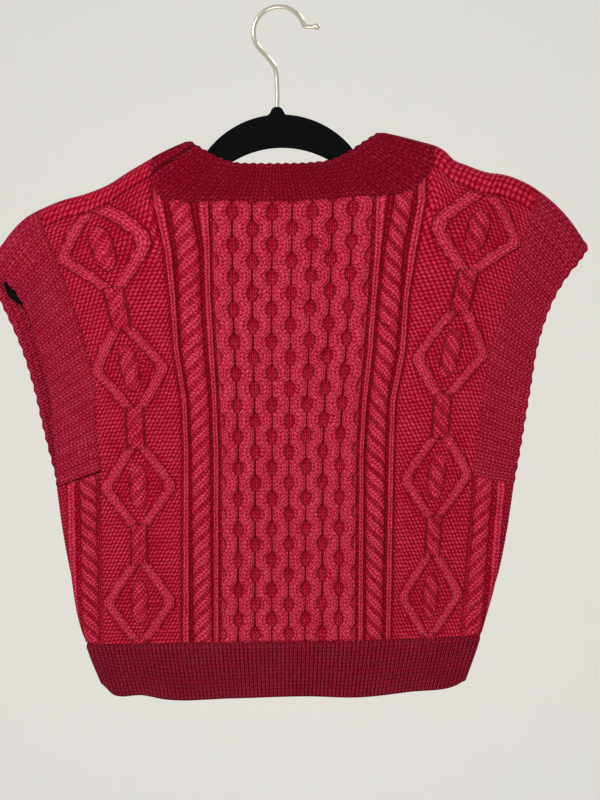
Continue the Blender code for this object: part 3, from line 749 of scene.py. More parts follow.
def strip_relief(cloth, course):
    """Relief of the side strip by its distance from the panel: a rope, a rib, then moss."""
    stitch = cloth / STRIP_STITCH
    relief, band, length = rope(stitch - 3.0, course, -1.0)
    on_rope = np.abs(stitch - 3.0) <= 2.0
    rib = np.abs(stitch - 7.0) <= 1.0
    height = np.where(on_rope, -0.8 + 3.0 * relief, -0.4 + 0.5 * purl_rows(course))
    height = np.where(rib, -0.3 + 1.4 * rounded((stitch - 7.0) * 0.97), height)
    height = np.where((stitch < 1.0) | (np.abs(stitch - 5.5) < 0.5), -0.5, height)
    across = np.where(on_rope, 0.75 * band, stitch)
    across = np.where(rib, (stitch - 6.0) / 2.0, across)
    rows = np.where(on_rope, length, course)
    is_moss = np.where(on_rope | rib | (stitch < 1.0), 0.0, 1.0)
    return softened(height), across, rows, is_moss


# %% [markdown]
# ## The yarn
# The vest is knitted from one raspberry wool, a little fuzzy. The material reads the numbers that
# each mesh carries: `across`, `rows`, `moss` and `height`, where `height` is how far a point stands
# above the cloth round it. It repeats the stitch formulas in nodes, so that the legs of each V stay
# sharp at any distance, and uses them for the bump and for the colour. The colour holds painted
# shade, deep red in the gaps between the stitches and in low places, and painted light on the crests.

# %% Yarn material
class Wiring:
    """Adds math nodes to a tree; each method returns the new node's output."""

    def __init__(self, tree):
        self.tree = tree

    def node(self, kind, **settings):
        """A new node of a kind, with its settings."""
        made = self.tree.nodes.new(kind)
        for key, value in settings.items():
            setattr(made, key, value)
        return made

    def math(self, operation, *inputs):
        """One sum: each input is a number or another node's output."""
        made = self.node("ShaderNodeMath", operation=operation)
        for socket, value in zip(made.inputs, inputs):
            if isinstance(value, (int, float)):
                socket.default_value = value
            else:
                self.tree.links.new(value, socket)
        return made.outputs[0]

    def value(self, name):
        """One of the numbers that the mesh carries."""
        return self.node("ShaderNodeAttribute", attribute_name=name).outputs["Fac"]

    def signed(self, value):
        """Place inside each whole number, from -1 to 1."""
        return self.math("MULTIPLY_ADD", self.math("FRACT", value), 2.0, -1.0)

    def grain(self, a, b):
        """1 - (a squared + b squared) / 1.5, and 0 outside: one grain of yarn."""
        square = self.math("MULTIPLY_ADD", a, a, self.math("MULTIPLY", b, b))
        return self.math("MAXIMUM", self.math("MULTIPLY_ADD", square, -1 / 1.5, 1.0), 0.0)

    def noise(self, scale, detail, vector):
        """Soft noise, 0 to 1; a larger scale is finer."""
        made = self.node("ShaderNodeTexNoise")
        made.inputs["Scale"].default_value = scale
        made.inputs["Detail"].default_value = detail
        self.tree.links.new(vector, made.inputs["Vector"])
        return made.outputs["Fac"]

    def ramp(self, value, first, last, socket):
        """Links a ramp to `socket`. `first` and `last` are its ends, as a place and a colour."""
        made = self.node("ShaderNodeValToRGB")
        for element, (place, colour) in zip(made.color_ramp.elements, (first, last)):
            element.position = place
            element.color = (*colour, 1)
        self.tree.links.new(value, made.inputs["Fac"])
        self.tree.links.new(made.outputs["Color"], socket)
        return made.color_ramp

    def bump(self, height, strength, distance, socket):
        """Links a bump of a height to `socket`, a shader's normal."""
        made = self.node("ShaderNodeBump")
        made.inputs["Strength"].default_value = strength
        made.inputs["Distance"].default_value = distance
        self.tree.links.new(height, made.inputs["Height"])
        self.tree.links.new(made.outputs["Normal"], socket)


def new_finish(name):
    """A new material, its shader and the wiring of its tree."""
    finish = bpy.data.materials.new(name)
    finish.use_nodes = True
    return finish, finish.node_tree.nodes["Principled BSDF"], Wiring(finish.node_tree)


def yarn(name, dark, middle, light, sheen):
    """Knitted wool. Stitch relief = legs of each V or bumps of the moss; the colour runs from dark
    in the gaps to light on the crests, by stitch relief, height of the cable and a fine noise. The
    dark gaps are painted shade and the light crests painted light; the noise is the yarn's own uneven
    colour."""
    finish, shader, w = new_finish(name)
    tree = finish.node_tree
    across, rows, moss_part, height = (w.value(key) for key in ("across", "rows", "moss", "height"))
    place = w.node("ShaderNodeTexCoord").outputs["Object"]
    fuzz = w.noise(600.0, 3.0, place)
    patches = w.noise(60.0, 2.0, place)
    uneven = w.math("SUBTRACT", w.noise(260.0, 1.0, place), 0.5)
    across = w.math("MULTIPLY_ADD", uneven, 0.55, across)
    rows = w.math("MULTIPLY_ADD", uneven, -0.90, rows)
    out = w.math("ABSOLUTE", w.signed(across))
    leg_rows = w.math("SUBTRACT", rows, w.math("MULTIPLY", out, 0.6))
    legs = w.grain(w.signed(w.math("MULTIPLY", across, 2.0)), w.signed(leg_rows))
    lean = w.math("MULTIPLY", w.math("FRACT", rows), 0.55)
    brick = w.math("MULTIPLY_ADD", w.math("FLOOR", rows), 0.5, w.math("ADD", across, lean))
    bumps = w.math("MULTIPLY_ADD", w.grain(w.signed(brick), w.signed(rows)), 1.25, -0.22)
    both = w.node("ShaderNodeMix", data_type="FLOAT")
    tree.links.new(moss_part, both.inputs[0])
    tree.links.new(legs, both.inputs[2])
    tree.links.new(bumps, both.inputs[3])
    stitch = both.outputs[0]
    # painted shade: a point that sits below the cloth round it turns darker, one above it lighter
    depth = w.node("ShaderNodeMapRange")
    tree.links.new(height, depth.inputs["Value"])
    depth.inputs["From Min"].default_value = -1.2
    depth.inputs["From Max"].default_value = 0.8
    # painted shade and light: dark in the gaps between legs and bumps and in low places, light on them
    # and on high places; the noise adds the yarn's own uneven colour
    shade_and_tone = w.math("MULTIPLY", stitch, 0.70)
    shade_and_tone = w.math("MULTIPLY_ADD", depth.outputs[0], 0.48, shade_and_tone)
    shade_and_tone = w.math("MULTIPLY_ADD", fuzz, 0.70, shade_and_tone)
    shade_and_tone = w.math("MULTIPLY_ADD", patches, 0.30, shade_and_tone)
    shade_and_tone = w.math("SUBTRACT", shade_and_tone, 0.67)
    ramp = w.ramp(shade_and_tone, (0.05, dark), (0.95, light), shader.inputs["Base Color"])
    ramp.elements.new(0.5).color = (*middle, 1)
    w.bump(w.math("MULTIPLY_ADD", fuzz, 0.45, stitch), 1.0, 0.0012, shader.inputs["Normal"])
    shader.inputs["Roughness"].default_value = 0.85
    shader.inputs["Specular IOR Level"].default_value = 0.02
    shader.inputs["Sheen Weight"].default_value = sheen
    shader.inputs["Sheen Roughness"].default_value = 0.5
    shader.inputs["Sheen Tint"].default_value = (1.0, 0.45, 0.55, 1)
    return finish


CABLE = yarn("raspberry wool, cables", (0.23, 0.0006, 0.007), (0.39, 0.0055, 0.026),
             (0.60, 0.050, 0.096), 0.02)
# The ribs and bands are the same wool in darker colours: painted shade, deepest on the hems and neckband,
# less on the armhole bands.
SHADED_RIB_WOOL = yarn("raspberry wool, ribs, darkened for shade", (0.14, 0.0005, 0.005), (0.225, 0.0034, 0.017),
           (0.34, 0.025, 0.056), 0.02)
SHADED_BAND_WOOL = yarn("raspberry wool, bands, darkened for shade", (0.19, 0.0007, 0.007), (0.31, 0.0065, 0.025),
            (0.45, 0.038, 0.078), 0.02)

# %% [markdown]
# ## The back
# The back is the side that shows. It was knitted in one piece from the hem up. As a mesh it is made
# as three shells, split in the purl gutters beside the honeycomb, where a join can't be seen.

# %% Back panel
SKIN, LINING = 1.0, 1.3
UNDERARM = -368.0


def skins(middle, normal, height, body=1.0):
    """Outer and inner skin: SKIN and the relief out, LINING in, both times `body`."""
    outer = middle + normal * ((SKIN + height) * body)[..., None]
    inner = middle - normal * np.broadcast_to(LINING * body, height.shape)[..., None]
    return outer, inner


def finish_piece(piece, material, nodes):
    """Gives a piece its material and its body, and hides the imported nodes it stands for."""
    piece.data.materials.append(material)
    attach(piece, "root")
    if nodes:
        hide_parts(*nodes)


def back_parts():
    """Grids of the whole back: middle, normal, and the four numbers of the yarn."""
    stitch = np.concatenate([-HALF[:, :0:-1], HALF], axis=1)
    part = (COURSE_STEPS / COURSES)[:, None]
    course = COURSE_STEPS[:, None]
    grid = back_grid(stitch, part)
    middle, normal = lay(grid, NEAR)
    relief = cable_relief(stitch, course)
    relief = (softened(relief[0]), *relief[1:])
    beside_band = np.where(grid[..., 1] > UNDERARM, 48.0 - np.abs(stitch), 1.0)
    seam = ease(course, 0.0, 1.2) * ease(COURSES - course, 0.0, 1.5) * ease(beside_band, 0.0, 0.8)
    return grid, middle, normal, relief, seam


def join_columns(strip, main, first):
    """Strip columns beside main columns; above the strip's last row its points are never used."""
    rows = len(main)
    tall = np.concatenate([strip, np.repeat(strip[-1:], rows - len(strip), axis=0)])
    return np.concatenate([tall[:, :-1], main] if first else [main, tall[:, -2::-1]], axis=1)


def make_back():
    """The back's three shells and their cuts. The side shells take the strip beside the panel, up
    to the underarm. Relief fades at the seams, where the band or the hem is picked up."""
    grid, middle, normal, relief, seam = back_parts()
    columns = grid.shape[1] - 1
    side = HALF.shape[1] - 1 - SPLIT_COLUMN
    height = -0.4 + (relief[0] + 0.4) * (0.35 + 0.65 * seam)
    parts = []
    for edge, cut in (("left", slice(0, side + 1)), ("right", slice(columns - side, columns + 1))):
        line = grid[:, 0] if edge == "left" else grid[:, -1]
        underarm = np.interp(ARMHOLES[edge][0][1], line[:, 1], np.arange(len(line)))
        top = int(round(underarm / STEP)) * STEP
        strip, cloth = strip_grid(edge, line[:top + 1])
        strip_middle, strip_normal = lay(strip, NEAR)
        strip_values = strip_relief(cloth, COURSE_STEPS[:top + 1, None])
        fade = ease(COURSE_STEPS[:top + 1, None], 0.0, 1.2) * ease(
            COURSE_STEPS[top] - COURSE_STEPS[:top + 1, None], 0.0, 1.0)
        strip_height = -0.5 + (strip_values[0] + 0.5) * fade
        first = edge == "left"
        main = [middle[:, cut], normal[:, cut], height[:, cut]] + [v[:, cut] for v in relief[1:]]
        beside = [strip_middle, strip_normal, strip_height] + list(strip_values[1:])
        whole = [join_columns(one, two, first) for one, two in zip(beside, main)]
        keep = np.ones((COURSES, (side + STRIP_COLUMNS) // STEP), bool)
        strip_blocks = slice(0, STRIP_COLUMNS // STEP) if first else slice(side // STEP, None)
        keep[top // STEP:, strip_blocks] = False
        parts.append((f"back_{edge}", whole, keep))
    cut = slice(side, columns - side + 1)
    parts.append(("back_middle", [middle[:, cut], normal[:, cut], height[:, cut]]
                  + [v[:, cut] for v in relief[1:]], None))
    pieces = []
    for name, (at, out, high, across, rows, is_moss), keep in parts:
        outer, inner = skins(at, out, high)
        # `height` is painted shade for the yarn: how far each point stands above the cloth round it,
        # darker when lower
        values = {"across": across, "rows": rows, "moss": is_moss, "height": standing(high)}
        pieces.append((shell(name, outer, inner, values, keep=keep), cut_of(at, keep)))
    return pieces


for piece, cut in make_back():
    finish_piece(piece, CABLE, ["back_panel"] if piece.name == "back_middle" else [])


# %% [markdown]
# ## Hem ribs
# Both hems are 1x1 rib: one knit wale stands up, one purl wale sinks between, so that each column
# that shows is a narrow braid of Vs. The grid is even in cloth length, round the side folds too.

# %% Hems
HEM_WALES, HEM_ROWS = 97, 15


def hem_grid():
    """(x, z) rows from the hem's bottom edge up to its seam, columns from fold to fold."""
    lines = []
    for part in np.linspace(1.0, 0.0, HEM_ROWS * STEP + 1):
        ends = []
        for edge, end in (("left", 0), ("right", -1)):
            ends.append(side_x(edge, HEM_TOP[end][1] + part * (HEM_BOTTOM[end][1] - HEM_TOP[end][1])))
        arc = FOLD * math.pi / 2
        length = ends[1] - ends[0] - 2 * FOLD + 2 * arc
        cloth = np.linspace(0.0, length, HEM_WALES * STEP + 1)
        near_end = np.minimum(cloth, length - cloth)
        turned = np.maximum(FOLD * (1.0 - np.cos(np.minimum(near_end, arc) / FOLD)), SIDE_GAP)
        inset = np.where(near_end < arc, turned, near_end - arc + FOLD)
        x = np.where(cloth < length / 2, ends[0] + inset, ends[1] - inset)
        top, bottom = height_on(HEM_TOP, x), height_on(HEM_BOTTOM, x)
        lines.append(np.stack([x, top + part * (bottom - top)], axis=1))
    return np.array(lines)


def make_hem(name, side):
    """One hem's shell and its cut: each wale is a half circle of yarn, thinner at the edge."""
    middle, normal = lay(hem_grid(), side)
    wale = np.broadcast_to(np.arange(middle.shape[1]) / STEP, middle.shape[:2])
    row = np.broadcast_to(np.arange(middle.shape[0])[:, None] / STEP, middle.shape[:2])
    inside = np.mod(wale, 1.0) - 0.5
    across = inside / 0.86 + 0.5
    height = -0.55 + 1.75 * rounded(inside / 0.46) + 0.4 * (knit(across, row) - 0.5)
    seam = ease(row, -0.3, 0.8) * ease(HEM_ROWS - row, -0.4, 1.0)
    height = -0.4 + (height + 0.4) * seam
    body = 0.3 + 0.7 * rounded(1.0 - np.minimum(row / 0.8, 1.0))
    outer, inner = skins(middle, normal, height, body)
    # `height` is painted shade for the yarn: how far each point stands above the cloth round it, darker
    # when lower
    values = {"across": across, "rows": row + 0.0, "moss": 0.0 * row, "height": standing(height)}
    return shell(name, outer, inner, values, flip=side == FAR), cut_of(middle)


for name, side, node in (("hem_back", NEAR, "hem_rib_back"), ("hem_front", FAR, "hem_rib_front")):
    piece, cut = make_hem(name, side)
    finish_piece(piece, SHADED_RIB_WOOL, [node])


# %% [markdown]
# ## Bands
# The neckband and the armhole bands look like 2x2 rib, picked up along the panel and knitted
# outwards, so their ribs run across the band and fan out where it turns. Rib closes up and hides
# some of its stitches, so each one is drawn with only the columns that would show: three on the
# neckband and four on the armhole bands. A band is a strip of cloth between its
# free edge and its seam, carried up the back, over the shoulder fold and down the front. Its rows
# are spaced evenly by length, so that every rib has the same number of stitches.

# %% Band helpers
RIB_STEPS = 12


def over_fold(fold, near, far):
    """Rows from the near row over the fold to the far row, closer together near the fold."""
    steps = np.linspace(1.0, 0.0, 14)[:-1]**2
    rows = [fold + (near - fold) * step for step in steps] + [fold]
    rows += [fold + (far - fold) * step for step in steps[::-1]]
    sides = [NEAR] * len(steps) + [0.0] + [FAR] * len(steps)
    return np.array(rows), np.array(sides)[:, None]


def even(grid, steps):
    """The grid with its rows evenly spaced along its middle line, and that line's length."""
    line = grid[:, grid.shape[1] // 2]
    length = np.concatenate([[0.0], np.cumsum(np.linalg.norm(np.diff(line, axis=0), axis=1))])
    place = np.interp(np.linspace(0.0, length[-1], steps + 1), length, np.arange(len(line)))
    low = np.minimum(place.astype(int), len(line) - 2)
    part = (place - low)[:, None, None]
    return grid[low] * (1 - part) + grid[low + 1] * part, length[-1]


def rib_relief(turn, row, height, columns):
    """Relief and yarn numbers of a closed-up rib. Each rib shows a few columns of grains, all but
    the last of them standing up. A column is one leg, so `across` counts two to a stitch."""
    column = np.mod(turn, 1.0) * columns
    up = column < columns - 1.0
    ridge = rounded((np.mod(column, 1.0) - 0.5) * 2.0)
    hump = rounded(2.0 * column / (columns - 1.0) - 1.0)
    relief = np.where(up, height * (0.7 * ridge + 0.3 * hump), 0.3 * height * ridge)
    relief = relief + 0.40 * (knit(column / 2.0, row) - 0.5)
    return -0.4 + relief, turn * columns / 2.0


def make_band(name, grid, turns, rows, ribs_high, columns, ring):
    """A band from a grid whose rows run from the free edge to the seam."""
    normal = grid_normals(grid, ring)
    turn = np.broadcast_to(np.linspace(0.0, turns, grid.shape[1]), grid.shape[:2])
    row = np.broadcast_to(np.linspace(0.0, rows, grid.shape[0])[:, None], grid.shape[:2])
    height, across = rib_relief(turn, row, ribs_high, columns)
    chain = 0.7 * np.abs(np.sin(math.pi * turn * 4)) * ease(-row, -1.1, -0.5)
    height = height * ease(row, 0.2, 1.2) + chain
    height = -0.45 + (height + 0.45) * ease(rows - row, -0.2, 1.0)
    body = 0.3 + 0.7 * rounded(1.0 - np.minimum(row / 0.7, 1.0))
    out = grid[:1] - grid[-1:]
    out = out / np.linalg.norm(out, axis=-1, keepdims=True)
    wave = 0.5 * np.cos(2 * math.pi * (turn - 0.29)) * ease(-row, -4.0, 0.0)
    middle = grid + out * wave[..., None]
    outer, inner = skins(middle, normal, height, body)
    # `height` is painted shade for the yarn: how far each point stands above the cloth round it, darker
    # when lower
    values = {"across": across, "rows": row + 0.0, "moss": 0.0 * row, "height": standing(height)}
    return shell(name, outer, inner, values, ring=ring)


# %% Neckband
NECK_ROWS = 10
NECK_RIBS = 58
OVERLAP = 0.9


def neckband_grid():
    """Sections across the band, round the ring: back, right shoulder, front, left shoulder."""
    back = np.stack([along(NECK_BACK_EDGE, 70), along(NECK_BACK_SEAM, 70)], axis=1)
    front = np.stack([along(NECK_FRONT_EDGE, 70), along(NECK_FRONT_SEAM, 70)], axis=1)
    left, right = np.array(NECK_FOLD["left"]), np.array(NECK_FOLD["right"])
    over_right, right_sides = over_fold(right, back[-1], front[-1])
    over_left, left_sides = over_fold(left, back[0], front[0])
    sections = np.concatenate([back, over_right[1:-1], front[::-1], over_left[-2:0:-1], back[:1]])
    side = np.concatenate([np.full((len(back), 1), NEAR), right_sides[1:-1],
                           np.full((len(front), 1), FAR), left_sides[-2:0:-1], [[NEAR]]])
    part = np.linspace(0.0, 1.0, NECK_ROWS * STEP + 1)[None, :, None]
    width = np.linalg.norm(sections[:, :1] - sections[:, 1:], axis=-1, keepdims=True)
    part = part * (1.0 + OVERLAP / width)
    flat = sections[:, :1] * (1 - part) + sections[:, 1:] * part
    middle = lay(flat, np.broadcast_to(side, flat.shape[:2]))[0]
    grid, length = even(middle, NECK_RIBS * RIB_STEPS)
    print("neckband length", round(length, 1), "mm")
    return grid.transpose(1, 0, 2)


grid = neckband_grid()
neckband = make_band("neckband_rib", grid, NECK_RIBS, NECK_ROWS, 2.0, 3.0, True)
finish_piece(neckband, SHADED_RIB_WOOL, ["neckband"])

# %% Armbands
ARM_ROWS = 12
ARM_RIB = 10.7


def armband_grid(edge):
    """Sections across the band, from the underarm up the back, over the fold, down the front."""
    table = np.array(ARMHOLES[edge])
    where = np.linspace(0.0, 1.0, 120)
    seam, back, front = (smooth(table[:, k:k + 2], where) for k in (0, 2, 4))
    part = np.linspace(0.0, 1.03, ARM_ROWS * STEP + 1)[:, None]
    near = np.array([outer + (inner - outer) * part for inner, outer in zip(seam, back)])
    far = np.array([outer + (inner - outer) * part for inner, outer in zip(seam, front)])
    tip = np.array(SHOULDER[edge][-1])
    fold_x = tip[0] + (ARMHOLE_FOLD[edge][0] - tip[0]) * part[:, 0]
    fold = np.stack([fold_x, height_on(SHOULDER[edge], fold_x)], axis=1)
    rows, sides = over_fold(fold, near[-1], far[-1])
    points = np.concatenate([near, rows[1:-1], far[::-1]])
    side = np.concatenate([np.full((len(near), 1), NEAR), sides[1:-1], np.full((len(far), 1), FAR)])
    middle = lay(points, np.broadcast_to(side, points.shape[:2]))[0]
    steps = 4 * int(round(np.linalg.norm(np.diff(middle[:, 24], axis=0), axis=1).sum()
                          / ARM_RIB * RIB_STEPS / 4))
    grid, length = even(middle, steps)
    print(edge, "armband length", round(length, 1), "mm")
    return grid.transpose(1, 0, 2), length / ARM_RIB


for edge in ("left", "right"):
    grid, turns = armband_grid(edge)
    band = make_band(f"armband_rib_{edge}", grid, turns, ARM_ROWS, 0.6, 4.0, False)
    finish_piece(band, SHADED_BAND_WOOL, [f"armband_{edge}"])

# %% [markdown]
# ## The front
# The front is hidden, so it is finished plainly: the same panel, with the deeper front neckline.
# Its shoulders run over the fold and down to the seam on the back, as the real ones do. Its grid is
# filled in between its four edges, and each point is then asked which stitch and course it is.

# %% Front panel
SHOULDER_STEPS, NECK_STEPS, STRAP_STEPS = 60, 164, 24
UPPER_STEPS, LOWER_STEPS = 148, 88


def fill(left, right, bottom, top):
    """Grid between four lines: the two rulings between facing lines, less the corners' share."""
    up = np.linspace(0.0, 1.0, len(left))[:, None, None]
    over = np.linspace(0.0, 1.0, len(bottom))[None, :, None]
    sides = (1 - over) * left[:, None] + over * right[:, None]
    ends = (1 - up) * bottom[None] + up * top[None]
    corners = ((1 - over) * (1 - up) * bottom[0] + over * (1 - up) * bottom[-1]
               + (1 - over) * up * top[0] + over * up * top[-1])
    return sides + ends - corners


def stitch_at(points):
    """Stitch and course numbers of (x, z): where x lies among the wale lines at that height, and
    where z lies between the hem and the level line at that x."""
    x, z = points[..., 0], points[..., 1]
    lines = wale_lines(z)
    stitch = np.full(x.shape, float(WALES[0]))
    for k in range(len(WALES) - 1):
        part = np.clip((x - lines[k]) / (lines[k + 1] - lines[k]), 0.0, 1.0)
        stitch = stitch + part * (WALES[k + 1] - WALES[k])
    low, level = height_on(HEM_TOP, x), height_on(LEVEL, x)
    return stitch, COURSES * (z - low) / (level - low)


def strap_rows(edge):
    """(x, z) and side of the shoulder strap, from the far seam line over the fold to the near."""
    far_corner = NECK_FRONT_SEAM[0 if edge == "left" else -1]
    near_corner = NECK_BACK_SEAM[0 if edge == "left" else -1]
    fold, far = shoulder_seam(edge, far_corner, SHOULDER_STEPS + 1)
    near = shoulder_seam(edge, near_corner, SHOULDER_STEPS + 1)[1]
    down = np.linspace(-1.0, 1.0, STRAP_STEPS + 1)
    down = np.sign(down) * np.maximum(np.abs(down), 0.02)**2
    end = np.where(down[:, None, None] < 0, far[None], near[None])
    rows = fold[None] + (end - fold[None]) * np.abs(down)[:, None, None]
    return rows, np.broadcast_to(np.where(down <= 0, FAR, NEAR)[:, None], rows.shape[:2])


def make_front():
    """The front's shell and its cut. One grid holds the panel, the two side strips and the two
    shoulder straps, and `keep` says which of its blocks are cloth."""
    seams = {edge: smooth(np.array(ARMHOLES[edge])[:, :2], np.linspace(0, 1, UPPER_STEPS + 1))
             for edge in ("left", "right")}
    straps = {edge: strap_rows(edge) for edge in ("left", "right")}
    neck = along(NECK_FRONT_SEAM, NECK_STEPS + 1)
    top = np.vstack([straps["left"][0][0][:-1], neck, straps["right"][0][0][::-1][1:]])
    width = len(top) - 1
    underarm = np.linspace(seams["left"][0], seams["right"][0], width + 1)
    upper = fill(seams["left"], seams["right"], underarm, top)
    hem_x = np.linspace(PANEL_EDGE_AT_HEM["left"], PANEL_EDGE_AT_HEM["right"], width + 1)
    hem = np.stack([hem_x, height_on(HEM_TOP, hem_x)], axis=1)
    lower = fill(np.linspace(hem[0], underarm[0], LOWER_STEPS + 1),
                 np.linspace(hem[-1], underarm[-1], LOWER_STEPS + 1), hem, underarm)
    main = np.concatenate([lower[:-1], upper])
    strips = {"left": strip_grid("left", lower[:, 0]), "right": strip_grid("right", lower[:, -1])}
    rows, columns = len(main) + STRAP_STEPS, width + 1 + 2 * STRIP_COLUMNS
    points = np.zeros((rows, columns, 2))
    side = np.full((rows, columns), FAR)
    body = slice(STRIP_COLUMNS, columns - STRIP_COLUMNS)
    points[:len(main), body] = main
    points[len(main):, body] = main[-1]
    points[:, :STRIP_COLUMNS] = points[:, STRIP_COLUMNS:STRIP_COLUMNS + 1]
    points[:, -STRIP_COLUMNS:] = points[:, -STRIP_COLUMNS - 1:-STRIP_COLUMNS]
    strip_rows = slice(0, LOWER_STEPS + 1)
    points[strip_rows, :STRIP_COLUMNS] = strips["left"][0][:, :-1]
    points[strip_rows, -STRIP_COLUMNS:] = strips["right"][0][:, -2::-1]
    keep = np.ones((rows - 1, columns - 1), bool)
    keep[LOWER_STEPS:, :STRIP_COLUMNS] = False
    keep[LOWER_STEPS:, -STRIP_COLUMNS:] = False
    keep[len(main) - 1:] = False
    for edge, start in (("left", STRIP_COLUMNS), ("right", columns - STRIP_COLUMNS - SHOULDER_STEPS - 1)):
        place = slice(start, start + SHOULDER_STEPS + 1)
        strap, strap_side = straps[edge]
        order = slice(None) if edge == "left" else slice(None, None, -1)
        points[len(main):, place] = strap[1:, order]
        side[len(main):, place] = strap_side[1:, order]
        keep[len(main) - 1:, start:start + SHOULDER_STEPS] = True
    middle, normal = lay(points, side)
    stitch, course = stitch_at(points)
    over = np.arange(rows)[:, None] - (len(main) - 1)
    course = np.where(over > 0, COURSES + over * 2 * DROP / STRAP_STEPS / 3.0, course)
    height, across, yarn_rows, is_moss = cable_relief(np.clip(stitch, -48, 48), course)
    height = np.where(over > 0, -0.2 + 0.5 * purl_rows(course), height)
    across = np.where(over > 0, stitch, across)
    yarn_rows = np.where(over > 0, course, yarn_rows)
    is_moss = np.where(over > 0, 1.0, is_moss)
    for edge, columns_of, order in (("left", slice(0, STRIP_COLUMNS), slice(None, -1)),
                                    ("right", slice(-STRIP_COLUMNS, None), slice(-2, None, -1))):
        cloth = strips[edge][1][:, order]
        found = strip_relief(cloth, course[strip_rows, STRIP_COLUMNS:STRIP_COLUMNS + 1])
        for whole, part in zip((height, across, yarn_rows, is_moss), found):
            whole[strip_rows, columns_of] = part
    outer, inner = skins(middle, normal, height * 0.8)
    # `height` is painted shade for the yarn: how far each point stands above the cloth round it, darker
    # when lower
    values = {"across": across, "rows": yarn_rows, "moss": is_moss, "height": standing(height)}
    front = shell("front", outer, inner, values, keep=keep[::STEP, ::STEP], flip=True)
    return front, cut_of(middle, keep[::STEP, ::STEP])


front, cut = make_front()
finish_piece(front, CABLE, ["front_panel"])

# %% [markdown]
# ## The hanger
# The hanger is a flat board about 5.5 mm thick, all rounded edges, covered with short black flock.
# Its outline is one closed band round one opening, so the skin is worked out as a rounded oblong
# carried round between the inner and the outer line. The hook is plated wire, a little champagne
# in colour, with a ball at its tip.

# %% Hanger body
NECK_POINT = (-1.6, -82.0)
TILT = math.radians(2.2)
HANGER_THICK, EDGE_RADIUS = 5.5, 2.2
ARCH = ((-2.0, 73.5, 57.0), (-28.6, 75.0, 57.0))
ARM_TOP = [(63, -38), (72, -31), (100, -42.5), (131, -57), (173, -72.5), (200, -85.5),
           (213, -97), (220, -111), (222.5, -125), (219, -138), (208, -146.3), (195, -148)]
ARM_UNDER = [(62, -59), (72, -60), (100, -68), (131, -80), (173, -95.5), (195, -106),
             (205, -115), (209, -126), (205, -136), (195, -139.5)]


def hanger_line(arch, arm):
    """Half the outline from the top of the arch to the middle of the bar, then its mirror."""
    top, radius, half = arch
    x = half * np.sin(np.linspace(0.0, math.pi / 2, 24))
    curve = np.stack([x, top - radius + np.sqrt(radius**2 - x**2)], axis=1)
    arm = along(arm, 80)
    bar = np.linspace(arm[-1], (0.0, arm[-1, 1]), 12)[1:]
    half_line = np.vstack([curve, arm, bar])
    return np.vstack([half_line, half_line[-2:0:-1] * (-1.0, 1.0)])


def plain_mesh(name, grid, close_over, close_along):
    """A smooth mesh from a grid of points in millimetres, joined to itself where it closes."""
    rows, columns = grid.shape[:2]
    index = np.arange(rows * columns).reshape(rows, columns)
    if close_along:
        index = np.concatenate([index, index[:1]])
    if close_over:
        index = np.concatenate([index, index[:, :1]], axis=1)
    faces = grid_faces(index, np.ones((index.shape[0] - 1, index.shape[1] - 1), bool))
    mesh = bpy.data.meshes.new(name)
    mesh.from_pydata((grid.reshape(-1, 3) * MM).tolist(), [], faces.tolist())
    work = bmesh.new()
    work.from_mesh(mesh)
    bmesh.ops.remove_doubles(work, verts=work.verts, dist=1e-7)
    holes = [edge for edge in work.edges if edge.is_boundary]
    if holes:
        bmesh.ops.holes_fill(work, edges=holes, sides=0)
    bmesh.ops.recalc_face_normals(work, faces=work.faces)
    work.to_mesh(mesh)
    work.free()
    mesh.polygons.foreach_set("use_smooth", [True] * len(mesh.polygons))
    thing = bpy.data.objects.new(name, mesh)
    bpy.context.scene.collection.objects.link(thing)
    print(name, len(mesh.polygons), "faces")
    return thing


def make_hanger():
    """The board: a rounded oblong carried round between the outer and the inner line, then turned
    by TILT about the place where the hook enters it."""
    outer, inner = (hanger_line(arch, arm) for arch, arm in zip(ARCH, (ARM_TOP, ARM_UNDER)))
    span = outer - inner
    width = np.linalg.norm(span, axis=1)[:, None]
    turn = np.linspace(0.0, math.pi / 2, 6)
    flat = EDGE_RADIUS * (1.0 - np.sin(turn))
    deep = HANGER_THICK / 2 - EDGE_RADIUS * (1.0 - np.cos(turn))
    inset = np.concatenate([flat, flat[::-1]])
    depth = np.concatenate([deep, -deep[::-1]])
    near_inner = inset[::-1][None] * np.minimum(1.0, width / 2 / EDGE_RADIUS)
    across = np.concatenate([near_inner, width - near_inner[:, ::-1]], axis=1)
    y = np.concatenate([-depth[::-1], depth[::-1]])
    flat_points = inner[:, None] + span[:, None] * (across / width)[..., None]
    x = flat_points[..., 0] * math.cos(TILT) - flat_points[..., 1] * math.sin(TILT) + NECK_POINT[0]
    z = flat_points[..., 0] * math.sin(TILT) + flat_points[..., 1] * math.cos(TILT) + NECK_POINT[1]
    return plain_mesh("hanger_board", np.stack([x, np.broadcast_to(y, x.shape), z], axis=-1), True, True)


# %% Hook
WIRE, HOOK_RADIUS, HOOK_FROM, HOOK_TO = 3.6, 20.4, 16.0, 225.0
HOOK_TIP = [(31.6, -14.2), (26.1, -14.3)]
HOOK_STEM = [(-9.8, -37.8), (-6.0, -42.6), (-3.4, -47.0), (-2.2, -52.0), (-1.6, -60.0), (-1.6, -84.0)]
BALL = 2.7


